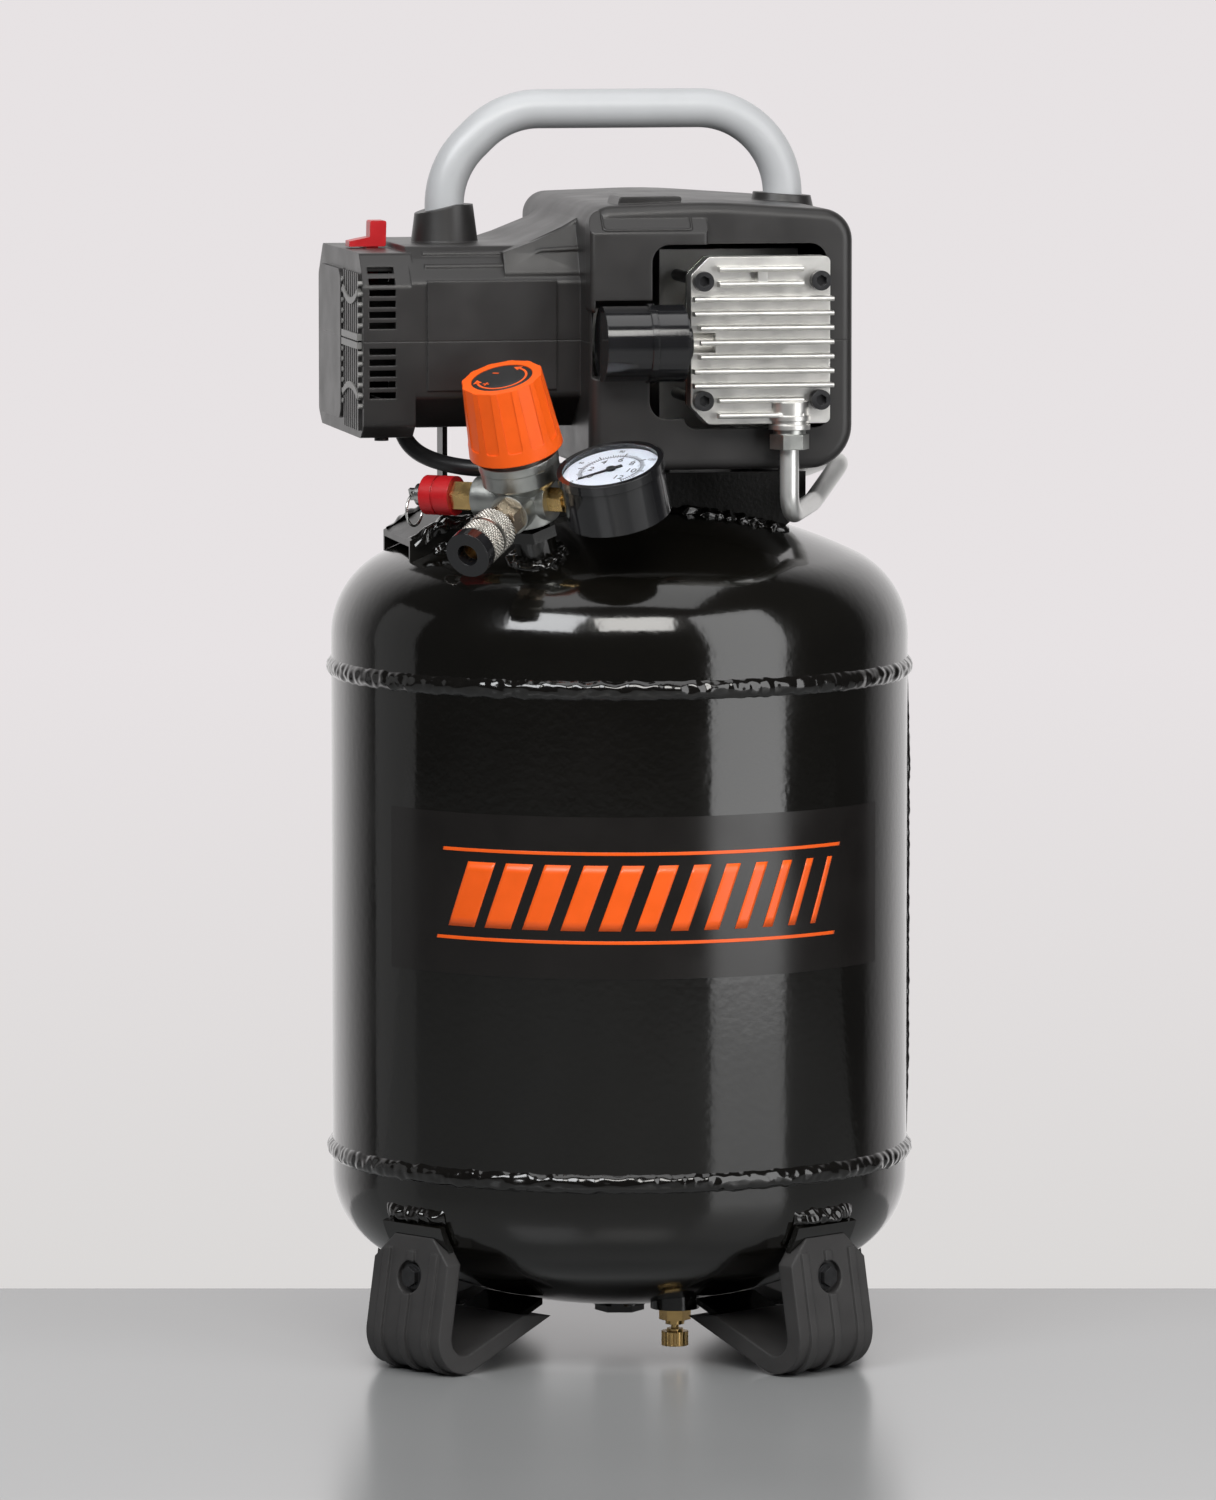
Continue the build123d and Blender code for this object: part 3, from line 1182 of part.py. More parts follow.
def coupler_sleeve():
    """Knurled sleeve that is drawn back to let a plug go."""
    sleeve = rod(11.7, (0, -34.0, PORT_S), (0, -57.4, PORT_S))
    sleeve = sleeve - rod(12.5, (0, -46.0, PORT_S), (0, -48.0, PORT_S))
    sleeve = sleeve + rod(10.6, (0, -45.0, PORT_S), (0, -49.0, PORT_S))
    for k in range(30):
        a = 2 * pi * k / 30
        x, z = 12.0 * cos(a), PORT_S + 12.0 * sin(a)
        sleeve = sleeve - rod(0.6, (x, -33, z), (x, -58, z))
    return sleeve - rod(8.6 + RUN_GAP, (0, -30, PORT_S), (0, -60, PORT_S))


def coupler_poppet():
    """Inner valve of the coupler, shut."""
    return rod(4.2, (0, -40.5, PORT_S), (0, -44.0, PORT_S)) + rod(2.2, (0, -34.0, PORT_S), (0, -40.5, PORT_S))


# ---------------------------------------------------------------- write every sub-part
def save_tank():
    strip = foot_strip_solid()
    save("tank_shell", tank_shell())
    save("tank_top_head", tank_top_head())
    save("tank_bottom_head", tank_bottom_head())
    seams = [ring_weld(LOWER_SEAM_Z), ring_weld(UPPER_SEAM_Z), side_weld()]
    saddle_beads = [PUMP * bead for bead in saddle_welds()]
    save("weld_beads", group(*seams, *foot_welds(), *saddle_beads, nipple_weld()))
    shoe = foot_rubber_solid(strip)
    save("rubber_feet", group(*[Rot(0, 0, a) * shoe for a in FOOT_AZIMUTHS]))
    save("foot_brackets", group(*[Rot(0, 0, a) * strip for a in FOOT_AZIMUTHS]))
    foot_bolts = [Rot(0, 0, a) * foot_bolt_solid() for a in FOOT_AZIMUTHS]
    pump_bolts = [PUMP * bolt for bolt in mount_bolts() + cover_screws() + handle_screws()]
    save("bolts_and_screws", group(*foot_bolts, *pump_bolts))
    save("front_label", front_label())
    sockets = [drain_boss(), inspection_boss(), inspection_plug(), COLUMN * regulator_nipple()]
    save("tank_sockets", group(*sockets))
    save("drain_valve_body", drain_body())
    save("drain_valve_stem", drain_stem())
    save("drain_knob", drain_knob())


def save_pump():
    upper, lower = covers()
    save("upper_cover", upper, PUMP)
    save("lower_cover", lower, PUMP)
    save("pump_saddle", group(saddle(), motor_strap()), PUMP)
    save("rubber_mounts", group(*rubber_mounts()), PUMP)
    save("handle_tube", handle(), PUMP)
    save("motor_stator", group(stator_core(), *field_coils()), PUMP)
    save("motor_brushes", group(*brushes()), PUMP)
    save("motor_bearings", group(motor_bracket(), *bearings()), PUMP)
    save("rotor_shaft", rotor_shaft(), PUMP)
    save("armature", group(armature_core(), commutator()), PUMP)
    save("cooling_fan", cooling_fan(), PUMP)
    save("crank_disc", crank_disc(), PUMP)
    save("crankcase", crankcase(), PUMP)
    save("cylinder", cylinder(), PUMP)
    save("piston", piston(), PUMP)
    save("piston_cup_seal", cup_seal(), PUMP)
    save("connecting_rod", group(connecting_rod(), rod_bearing()), PUMP)
    save("valve_plate", group(valve_plate(), head_gasket()), PUMP)
    save("cylinder_head", cylinder_head(), PUMP)
    save("head_bolts", group(*head_bolts()), PUMP)
    save("intake_filter_cup", filter_cup(), PUMP)
    save("intake_filter_body", group(filter_body(), filter_element()), PUMP)
    save("delivery_pipe", delivery_pipe(), PUMP)
    fittings = [PUMP * part for part in (delivery_nut(), check_valve_body(), check_disc())]
    save("delivery_fittings", group(*fittings, hose_elbow()))
    save("pressure_switch", pressure_switch(), PUMP)
    save("switch_knob", switch_knob(), PUMP)
    save("cable_gland", cable_gland(), PUMP)
    save("pressure_hose", pressure_hose(), PUMP)


def save_regulator():
    save("regulator_body", regulator_body(), COLUMN)
    save("regulator_bonnet", bonnet(), COLUMN)
    save("valve_springs", group(regulator_spring(), safety_spring()), COLUMN)
    save("spring_seat", spring_seat(), COLUMN)
    save("adjusting_screw", adjusting_screw(), COLUMN)
    save("regulator_knob", regulator_knob(), COLUMN)
    save("knob_disc", knob_disc(), COLUMN)
    save("gauge_case", group(gauge_case(), gauge_bezel()), COLUMN)
    save("gauge_dial", gauge_dial(), COLUMN)
    save("gauge_lens", gauge_lens(), COLUMN)
    save("gauge_needle", gauge_needle(), COLUMN)
    save("gauge_stem", group(gauge_stem(), *gauge_movement()), COLUMN)
    save("safety_valve_body", safety_valve_body(), COLUMN)
    save("safety_valve_sleeve", safety_valve_sleeve(), COLUMN)
    save("safety_valve_stem", safety_stem(), COLUMN)
    save("safety_valve_ring", safety_ring())
    save("coupler_body", coupler_hex(), COLUMN)
    save("coupler_end_ring", coupler_end_ring(), COLUMN)
    save("coupler_sleeve", coupler_sleeve(), COLUMN)
    save("coupler_poppet", coupler_poppet(), COLUMN)


save_tank()
save_pump()
save_regulator()
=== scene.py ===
import json
import math

import bmesh
import bpy
from mathutils import Matrix, Vector, noise


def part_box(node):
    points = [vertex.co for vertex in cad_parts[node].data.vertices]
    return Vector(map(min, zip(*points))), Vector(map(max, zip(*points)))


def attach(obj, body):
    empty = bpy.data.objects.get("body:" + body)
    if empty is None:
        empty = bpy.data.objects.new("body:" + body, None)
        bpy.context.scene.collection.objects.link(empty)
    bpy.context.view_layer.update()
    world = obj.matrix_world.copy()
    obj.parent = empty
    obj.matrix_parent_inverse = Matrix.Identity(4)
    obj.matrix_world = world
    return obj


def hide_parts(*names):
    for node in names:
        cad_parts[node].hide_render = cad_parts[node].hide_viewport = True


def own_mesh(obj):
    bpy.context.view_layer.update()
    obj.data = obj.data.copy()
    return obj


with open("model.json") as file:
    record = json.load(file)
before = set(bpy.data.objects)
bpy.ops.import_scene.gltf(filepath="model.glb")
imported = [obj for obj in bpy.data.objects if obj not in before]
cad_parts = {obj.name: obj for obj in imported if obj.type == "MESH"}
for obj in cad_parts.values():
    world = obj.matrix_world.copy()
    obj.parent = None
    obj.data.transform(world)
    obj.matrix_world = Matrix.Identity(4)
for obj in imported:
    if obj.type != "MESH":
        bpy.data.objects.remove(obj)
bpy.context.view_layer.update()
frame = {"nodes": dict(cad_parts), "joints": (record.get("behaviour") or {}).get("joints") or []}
NODES = frame["nodes"]
JOINTS = {joint["name"]: joint for joint in frame["joints"]}
ROOT = "compressor_frame"
MM = 0.001
JOIN_DISTANCE = 2e-6
SHARP_ANGLE = 28
BEVEL_SAMPLES = 4


# ------------------------------------------------------------------ frames taken from the CAD model
def axis_of(joint):
    return Vector(JOINTS[joint]["axis"]).normalized()


def frame_matrix(origin, x_axis, y_axis, z_axis):
    matrix = Matrix((x_axis, y_axis, z_axis)).transposed().to_4x4()
    matrix.translation = origin
    return matrix


def extents(node, place):
    """Lowest and highest corner of a CAD node in a turned frame."""
    inverse = place.inverted()
    points = [inverse @ vertex.co for vertex in NODES[node].data.vertices]
    low = Vector([min(p[i] for p in points) for i in range(3)])
    high = Vector([max(p[i] for p in points) for i in range(3)])
    return low, high


UP = Vector((0, 0, 1))
shaft = axis_of("rotor_spin")
PUMP = frame_matrix(Vector((0, 0, 0)), shaft, UP.cross(shaft), UP)
column_z = -axis_of("regulator_knob_turn")
column_y = axis_of("coupler_sleeve_pull")
COLUMN = frame_matrix(
    Vector(JOINTS["regulator_knob_turn"]["pos_m"]), column_y.cross(column_z), column_y, column_z
)


# ------------------------------------------------------------------ materials
def noise_texture(tree, coords, scale, detail=3.0):
    texture = tree.nodes.new("ShaderNodeTexNoise")
    texture.inputs["Scale"].default_value = scale
    texture.inputs["Detail"].default_value = detail
    tree.links.new(coords.outputs["Object"], texture.inputs["Vector"])
    return texture


def spread(tree, source, low, high, floor=0.3, ceiling=0.7):
    ranger = tree.nodes.new("ShaderNodeMapRange")
    ranger.inputs["From Min"].default_value = floor
    ranger.inputs["From Max"].default_value = ceiling
    ranger.inputs["To Min"].default_value = low
    ranger.inputs["To Max"].default_value = high
    tree.links.new(source, ranger.inputs["Value"])
    return ranger


def finish(
    name,
    colour,
    roughness,
    metallic=0.0,
    vary=0.12,
    rough_vary=0.04,
    patch=60.0,
    grain=900.0,
    bump=0.1,
    depth=0.0002,
    coat=0.0,
    coat_rough=0.05,
    edge=0.0,
    edge_wear_and_highlight_amount=0.0,
    edge_wear_and_highlight_colour=None,
    specular=0.5,
    extra=None,
):
    """Principled material: patchy colour and gloss, a fine bump, and optional rounded edges and edges painted
    lighter, partly as wear and partly as a painted highlight.
    """
    material = bpy.data.materials.new(name)
    material.use_nodes = True
    tree = material.node_tree
    shader = tree.nodes["Principled BSDF"]
    coords = tree.nodes.new("ShaderNodeTexCoord")
    cloud = noise_texture(tree, coords, patch)
    tint = tree.nodes.new("ShaderNodeMix")
    tint.data_type = "RGBA"
    tint.inputs["A"].default_value = (*[c * (1 - vary) for c in colour], 1)
    tint.inputs["B"].default_value = (*[min(1, c * (1 + vary)) for c in colour], 1)
    amount = spread(tree, cloud.outputs["Fac"], 0, 1)
    tree.links.new(amount.outputs["Result"], tint.inputs["Factor"])
    base = tint.outputs["Result"]
    speckle = noise_texture(tree, coords, grain, 2.0)
    relief = tree.nodes.new("ShaderNodeBump")
    relief.inputs["Strength"].default_value = bump
    relief.inputs["Distance"].default_value = depth
    tree.links.new(speckle.outputs["Fac"], relief.inputs["Height"])
    if extra:
        extra(tree, coords, relief)
    if edge:
        bevel = tree.nodes.new("ShaderNodeBevel")
        bevel.samples = BEVEL_SAMPLES
        bevel.inputs["Radius"].default_value = edge
        tree.links.new(bevel.outputs["Normal"], relief.inputs["Normal"])
    if edge_wear_and_highlight_amount:
        # edges painted lighter: part wear, part painted highlight
        base = worn(tree, coords, base, edge_wear_and_highlight_amount, edge_wear_and_highlight_colour or [min(1, 3 * c + 0.02) for c in colour], edge)
    tree.links.new(base, shader.inputs["Base Color"])
    gloss = spread(tree, cloud.outputs["Fac"], roughness - rough_vary, roughness + rough_vary)
    tree.links.new(gloss.outputs["Result"], shader.inputs["Roughness"])
    tree.links.new(relief.outputs["Normal"], shader.inputs["Normal"])
    shader.inputs["Metallic"].default_value = metallic
    shader.inputs["Coat Weight"].default_value = coat
    shader.inputs["Coat Roughness"].default_value = coat_rough
    shader.inputs["Specular IOR Level"].default_value = specular
    material.diffuse_color = (*colour, 1)
    return material


def worn(tree, coords, base, amount, colour, radius):
    """Paints the outer edges lighter, partly as wear and partly as a painted edge highlight: the rounded
    normal leaves the flat one where a corner is near.
    """
    bevel = tree.nodes.new("ShaderNodeBevel")
    bevel.samples = BEVEL_SAMPLES
    bevel.inputs["Radius"].default_value = max(radius, 0.0006)
    geometry = tree.nodes.new("ShaderNodeNewGeometry")
    dot = tree.nodes.new("ShaderNodeVectorMath")
    dot.operation = "DOT_PRODUCT"
    tree.links.new(bevel.outputs["Normal"], dot.inputs[0])
    tree.links.new(geometry.outputs["Normal"], dot.inputs[1])
    edge = spread(tree, dot.outputs["Value"], amount, 0.0, 0.75, 0.995)
    breakup = noise_texture(tree, coords, 320.0)
    patchy = spread(tree, breakup.outputs["Fac"], 0.35, 1.0, 0.35, 0.6)
    both = tree.nodes.new("ShaderNodeMath")
    both.operation = "MULTIPLY"
    tree.links.new(edge.outputs["Result"], both.inputs[0])
    tree.links.new(patchy.outputs["Result"], both.inputs[1])
    mix = tree.nodes.new("ShaderNodeMix")
    mix.data_type = "RGBA"
    tree.links.new(both.outputs["Value"], mix.inputs["Factor"])
    tree.links.new(base, mix.inputs["A"])
    mix.inputs["B"].default_value = (*colour, 1)
    return mix.outputs["Result"]


def orange_peel(tree, coords, relief):
    """Adds the long, soft ripple of sprayed paint under the fine grain."""
    ripple = noise_texture(tree, coords, 260.0, 1.0)
    swell = tree.nodes.new("ShaderNodeBump")
    swell.inputs["Strength"].default_value = 0.16
    swell.inputs["Distance"].default_value = 0.00035
    tree.links.new(ripple.outputs["Fac"], swell.inputs["Height"])
    tree.links.new(swell.outputs["Normal"], relief.inputs["Normal"])


def brushed(tree, coords, relief):
    """Fine turned lines, from noise that is squeezed along one axis."""
    stretch = tree.nodes.new("ShaderNodeMapping")
    stretch.inputs["Scale"].default_value = (40, 40, 2400)
    tree.links.new(coords.outputs["Object"], stretch.inputs["Vector"])
    lines = tree.nodes.new("ShaderNodeTexNoise")
    lines.inputs["Scale"].default_value = 1.0
    tree.links.new(stretch.outputs["Vector"], lines.inputs["Vector"])
    cut = tree.nodes.new("ShaderNodeBump")
    cut.inputs["Strength"].default_value = 0.12
    cut.inputs["Distance"].default_value = 0.0001
    tree.links.new(lines.outputs["Fac"], cut.inputs["Height"])
    tree.links.new(cut.outputs["Normal"], relief.inputs["Normal"])


ORANGE = (0.88, 0.108, 0.006)
BLACK_PAINT = (0.0042, 0.0038, 0.0030)
M = {
    "tank": finish("gloss_black_paint", BLACK_PAINT, 0.12, patch=14, grain=1400, bump=0.03, coat=0.35,
                   coat_rough=0.04, extra=orange_peel),
    "saddle": finish("bracket_paint", BLACK_PAINT, 0.34, patch=30, grain=500, bump=0.35, depth=0.0004,
                     specular=0.25),
    "weld": finish("painted_weld", (0.0045, 0.004, 0.0034), 0.12, patch=120, grain=300, bump=0.2,
                   depth=0.0003, coat=0.4),
    "label": finish("label_film", (0.009, 0.0078, 0.0072), 0.2, patch=30, grain=2600, bump=0.05),
    "print": finish("label_ink", ORANGE, 0.34, vary=0.04, patch=80, grain=2600, bump=0.05),
    # the cover's edges are painted lighter: part wear, part painted highlight
    "cover": finish("moulded_black", (0.019, 0.0178, 0.0176), 0.38, patch=45, grain=2300, bump=0.22,
                    depth=0.00012, edge=0.0012, edge_wear_and_highlight_amount=0.6, edge_wear_and_highlight_colour=(0.085, 0.083, 0.082)),
    # the rubber's edges are painted lighter: part wear, part painted highlight
    "rubber": finish("black_rubber", (0.036, 0.0345, 0.0345), 0.55, patch=60, grain=1600, bump=0.3,
                     depth=0.0002, edge=0.0016, edge_wear_and_highlight_amount=0.3, edge_wear_and_highlight_colour=(0.1, 0.1, 0.1)),
    "handle": finish("grey_paint", (0.43, 0.438, 0.45), 0.36, vary=0.04, patch=30, grain=900, bump=0.12,
                     depth=0.0001),
    "head": finish("cast_aluminium", (0.70, 0.69, 0.665), 0.38, metallic=1.0, vary=0.07, rough_vary=0.05,
                   patch=90, grain=1300, bump=0.3, depth=0.00014, edge=0.0007),
    "zinc": finish("zinc_cast", (0.47, 0.48, 0.46), 0.38, metallic=1.0, vary=0.16, rough_vary=0.08, patch=90,
                   grain=700, bump=0.3, depth=0.0002, edge=0.0008),
    "steel": finish("bright_steel", (0.74, 0.74, 0.72), 0.24, metallic=1.0, vary=0.08, patch=150, grain=1500,
                    bump=0.08, edge=0.0003),
    "pipe": finish("drawn_aluminium", (0.74, 0.74, 0.725), 0.4, metallic=0.9, vary=0.05, patch=60, grain=1200,
                   bump=0.12),
    "nickel": finish("nickel_knurl", (0.36, 0.345, 0.315), 0.34, metallic=1.0, vary=0.1, patch=200,
                     grain=1600, bump=0.08),
    "plated": finish("plated_brass", (0.52, 0.43, 0.33), 0.28, metallic=1.0, vary=0.1, patch=180, grain=1400,
                     bump=0.08, edge=0.0004, extra=brushed),
    "dark": finish("dark_steel", (0.045, 0.045, 0.047), 0.32, metallic=0.7, vary=0.2, patch=200, grain=1500,
                   bump=0.15, edge=0.0004),
    "brass": finish("brass", (0.78, 0.53, 0.22), 0.26, metallic=1.0, vary=0.12, patch=160, grain=1300,
                    bump=0.1, edge=0.0004, extra=brushed),
    "orange": finish("orange_plastic", ORANGE, 0.4, vary=0.05, patch=60, grain=1300, bump=0.08, edge=0.0007,
                     specular=0.28),
    "red": finish("red_plastic", (0.45, 0.010, 0.014), 0.34, vary=0.08, patch=120, grain=1500, bump=0.1,
                  edge=0.0005),
    "gloss": finish("gloss_black_plastic", (0.010, 0.010, 0.011), 0.12, patch=70, grain=900, bump=0.04,
                    coat=0.3, edge=0.0008),
    "dial": finish("white_dial", (0.80, 0.85, 0.92), 0.4, vary=0.02, patch=80, grain=2000, bump=0.03),
    "ink": finish("dial_ink", (0.01, 0.01, 0.012), 0.4, vary=0.05, patch=80, grain=2000, bump=0.03),
    "hose": finish("black_hose", (0.014, 0.014, 0.015), 0.36, patch=60, grain=1200, bump=0.15),
    "iron": finish("lamination_iron", (0.20, 0.19, 0.18), 0.42, metallic=0.9, vary=0.2, patch=90, grain=900,
                   bump=0.3, extra=brushed),
    # light grey of the end wall's trim: a painted highlight
    "end_trim_highlight": finish("end_trim_highlight_grey", (0.20, 0.197, 0.19), 0.4, vary=0.08, patch=160, grain=1800, bump=0.15,
                   edge=0.0004),
    "ivory": finish("sealing_ptfe", (0.62, 0.60, 0.55), 0.4, vary=0.05, patch=100, grain=1500, bump=0.1),
}


def clear_lens():
    material = bpy.data.materials.new("clear_lens")
    material.use_nodes = True
    tree = material.node_tree
    shader = tree.nodes["Principled BSDF"]
    coords = tree.nodes.new("ShaderNodeTexCoord")
    smear = noise_texture(tree, coords, 70.0)
    film = spread(tree, smear.outputs["Fac"], 0.0, 0.05)
    tree.links.new(film.outputs["Result"], shader.inputs["Roughness"])
    shader.inputs["Base Color"].default_value = (0.97, 0.98, 1.0, 1)
    shader.inputs["Transmission Weight"].default_value = 1.0
    shader.inputs["IOR"].default_value = 1.12
    return material


M["lens"] = clear_lens()

FINISHES = {
    "tank": ["tank_shell", "tank_top_head", "tank_bottom_head", "tank_sockets", "foot_brackets"],
    "saddle": ["pump_saddle"],
    "weld": ["weld_beads"],
    "label": ["front_label"],
    "cover": ["upper_cover", "lower_cover", "pressure_switch", "motor_brushes"],
    "rubber": ["rubber_feet", "rubber_mounts", "cable_gland"],
    "handle": ["handle_tube"],
    "head": ["cylinder_head", "cylinder", "crankcase", "crank_disc", "piston", "connecting_rod",
             "motor_bearings"],
    "zinc": ["regulator_body", "regulator_bonnet", "spring_seat", "delivery_fittings"],
    "pipe": ["delivery_pipe"],
    "steel": ["safety_valve_ring", "safety_valve_stem", "adjusting_screw", "valve_springs",
              "rotor_shaft", "valve_plate"],
    "nickel": ["coupler_sleeve"],
    "dark": ["head_bolts", "bolts_and_screws", "gauge_needle"],
    "plated": ["coupler_body"],
    "brass": ["drain_valve_body", "drain_valve_stem", "drain_knob", "gauge_stem", "safety_valve_body",
              "coupler_poppet"],
    "orange": ["regulator_knob"],
    "red": ["switch_knob", "safety_valve_sleeve"],
    "gloss": ["gauge_case", "intake_filter_cup", "intake_filter_body", "coupler_end_ring", "knob_disc"],
    "dial": ["gauge_dial"],
    "lens": ["gauge_lens"],
    "hose": ["pressure_hose"],
    "iron": ["motor_stator", "armature"],
    "ivory": ["piston_cup_seal", "cooling_fan"],
}


def smooth_cad(item):
    """Joins the split corners and shades curved faces smooth, with sharp edges kept."""
    mesh = item.data
    if "custom_normal" in mesh.attributes:
        mesh.attributes.remove(mesh.attributes["custom_normal"])
    for polygon in mesh.polygons:
        polygon.use_smooth = True
    join = item.modifiers.new("join", "WELD")
    join.merge_threshold = JOIN_DISTANCE
    split = item.modifiers.new("split", "EDGE_SPLIT")
    split.split_angle = math.radians(SHARP_ANGLE)


for key, names in FINISHES.items():
    for name in names:
        item = NODES[name]
        item.data.materials.clear()
        item.data.materials.append(M[key])
        smooth_cad(item)


# ------------------------------------------------------------------ mesh helpers
def piece(name, verts, faces, material, body=ROOT, smooth=True):
    mesh = bpy.data.meshes.new(name)
    mesh.from_pydata([tuple(v) for v in verts], [], faces)
    mesh.validate()
    mesh.update()
    item = bpy.data.objects.new(name, mesh)
    bpy.context.scene.collection.objects.link(item)
    mesh.materials.append(material)
    for polygon in mesh.polygons:
        polygon.use_smooth = smooth
    if body:
        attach(item, body)
    return item


def grid_faces(rows, columns, wrap_rows=False, wrap_columns=False):
    faces = []
    for i in range(rows if wrap_rows else rows - 1):
        for j in range(columns if wrap_columns else columns - 1):
            i2, j2 = (i + 1) % rows, (j + 1) % columns
            faces.append((i * columns + j, i * columns + j2, i2 * columns + j2, i2 * columns + j))
    return faces


def merge(parts):
    """One vertex and face list from several."""
    verts, faces = [], []
    for part_verts, part_faces in parts:
        start = len(verts)
        verts += part_verts
        faces += [tuple(start + i for i in face) for face in part_faces]
    return verts, faces


# ------------------------------------------------------------------ weld beads
def first_hit(node, origin, direction):
    hit, place, normal, _ = NODES[node].ray_cast(origin, direction)
    return (place, normal) if hit else (None, None)


WELD_ACROSS, WELD_SINK = 11, 0.0012


def bead(spots, width, height, closed, pitch=0.0055, ripple=0.06, wobble=0.3, seed=0.0):
    """Rippled weld: a domed strip over points that each carry a normal, its edges sunk in the metal."""
    count = len(spots)
    verts = []
    travel = 0.0
    for i, (place, normal) in enumerate(spots):
        before = spots[i - 1][0] if i or closed else place
        after = spots[(i + 1) % count][0] if i < count - 1 or closed else place
        along = (after - before).normalized()
        side = along.cross(normal).normalized()
        if i:
            travel += (place - spots[i - 1][0]).length
        fade = 1.0 if closed else min(1.0, 6.0 * min(i, count - 1 - i) / count + 0.15)
        for j in range(WELD_ACROSS):
            u = 2.0 * j / (WELD_ACROSS - 1) - 1.0
            rough = noise.noise(Vector((travel * 170, u * 1.6, seed)))
            lump = noise.noise(Vector((travel * 60, u * 0.8, seed + 9)))
            edge = noise.noise(Vector((travel * 130, 7.0 * (1 if u > 0 else -1), seed + 3)))
            step = travel + 0.5 * pitch * noise.noise(Vector((travel * 90, 0, seed + 5)))
            scallop = math.sin(2 * math.pi * step / pitch + 1.5 * u * u)
            relief = 0.8 + ripple * scallop + wobble * (rough + 0.6 * lump)
            lift = height * fade * (1 - abs(u) ** 2.2) * relief
            reach = width * (1 + 0.4 * ripple * scallop + 0.6 * wobble * edge)
            verts.append(place + side * (u * reach) + normal * (lift - WELD_SINK * (abs(u) ** 3)))
    return verts, grid_faces(count, WELD_ACROSS, wrap_rows=closed)


shell_low, shell_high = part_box("tank_shell")
TANK_R = shell_high.x
FOOT_WELD_Z, FOOT_WELD_HALF_SPAN = 0.0805, 8.2
NIPPLE_WELD_R = 0.0125
SADDLE_WELD_Y, SADDLE_FRONT_X, SADDLE_REAR_X = 0.0415, (0.018, 0.080), (-0.104, -0.058)
TAB_EDGE_Y, TAB_X, TAB_WELD_DROP = 0.0388, (-0.1145, -0.0675), 0.001
ABOVE_SADDLE = 0.5
SEAM_END = 0.006


def ring_spots(z, count=1500):
    """Round the shell at one height."""
    spots = []
    for i in range(count):
        a = 2 * math.pi * i / count
        outward = Vector((math.cos(a), math.sin(a), 0))
        spots.append((outward * TANK_R + UP * z, outward))
    return spots


def side_spots(count=400):
    """Up the shell's seam on its right side."""
    low, high = shell_low.z + SEAM_END, shell_high.z - SEAM_END
    return [
        (Vector((TANK_R, 0, low + (high - low) * i / (count - 1))), Vector((1, 0, 0))) for i in range(count)
    ]


def foot_spots(azimuth, count=70):
    """Along the upper end of a foot bracket, in degrees to each side of its azimuth."""
    spots = []
    for i in range(count):
        a = math.radians(azimuth + FOOT_WELD_HALF_SPAN * (2 * i / (count - 1) - 1))
        outward = Vector((math.cos(a), math.sin(a), 0))
        place, normal = first_hit("tank_bottom_head", outward * 2 * TANK_R + UP * FOOT_WELD_Z, -outward)
        spots.append((place, normal))
    return spots


def nipple_spots(count=120):
    """Round the regulator's socket."""
    spots = []
    for i in range(count):
        a = 2 * math.pi * i / count
        start = COLUMN @ Vector((NIPPLE_WELD_R * math.cos(a), NIPPLE_WELD_R * math.sin(a), 0))
        place, normal = first_hit("tank_top_head", start + column_z * 0.02, -column_z)
        lean = (normal + COLUMN.to_3x3() @ Vector((math.cos(a), math.sin(a), 0))).normalized()
        spots.append((place, lean))
    return spots


def saddle_spots(x0, x1, side, count=110):
    """Along the foot of one of the saddle's webs."""
    spots = []
    for i in range(count):
        x = x0 + (x1 - x0) * i / (count - 1)
        wave = 0.0008 * noise.noise(Vector((x * 200, side, 4)))
        top = PUMP @ Vector((x, side * SADDLE_WELD_Y + wave, ABOVE_SADDLE))
        place, normal = first_hit("tank_top_head", top, -UP)
        outward = PUMP.to_3x3() @ Vector((0, side, 0))
        spots.append((place, (normal + 0.9 * outward).normalized()))
    return spots


def tab_spots(side, count=90):
    """Along the long upper edges of the saddle's low tab."""
    spots = []
    for i in range(count):
        x = TAB_X[0] + (TAB_X[1] - TAB_X[0]) * i / (count - 1)
        place, _ = first_hit("pump_saddle", PUMP @ Vector((x, side * TAB_EDGE_Y, ABOVE_SADDLE)), -UP)
        if place is None:
            continue
        outward = PUMP.to_3x3() @ Vector((0, side, 0))
        spots.append((place - UP * TAB_WELD_DROP, (UP + 0.7 * outward).normalized()))
    return spots


beads = [
    bead(ring_spots(shell_high.z), 0.0056, 0.0030, True, 0.0065, 0.035, seed=1),
    bead(ring_spots(shell_low.z), 0.0056, 0.0030, True, 0.0065, 0.035, seed=2),
    bead(side_spots(), 0.0024, 0.0016, False, seed=5),
    bead(nipple_spots(), 0.0050, 0.0036, True, ripple=0.1, wobble=0.7, seed=8),
]
for k, azimuth in enumerate((45, 135, 225, 315)):
    beads.append(bead(foot_spots(azimuth), 0.0050, 0.0042, False, ripple=0.1, wobble=0.6, seed=20 + k))
for side in (-1, 1):
    beads.append(bead(saddle_spots(*SADDLE_FRONT_X, side), 0.0052, 0.0040, False, 0.006, 0.1, 0.8, 30 + side))
    beads.append(bead(saddle_spots(*SADDLE_REAR_X, side), 0.0052, 0.0040, False, 0.006, 0.1, 0.8, 40 + side))
    beads.append(bead(tab_spots(side), 0.0046, 0.0034, False, 0.006, 0.1, 0.9, 50 + side))
welds = piece("weld_ripples", *merge(beads), M["weld"])
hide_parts("weld_beads")


# ------------------------------------------------------------------ label graphic
label_low, label_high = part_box("front_label")
LABEL_R = max(math.hypot(v.co.x, v.co.y) for v in NODES["front_label"].data.vertices)
LABEL_MIDDLE = math.radians(5)
INK = 0.0001
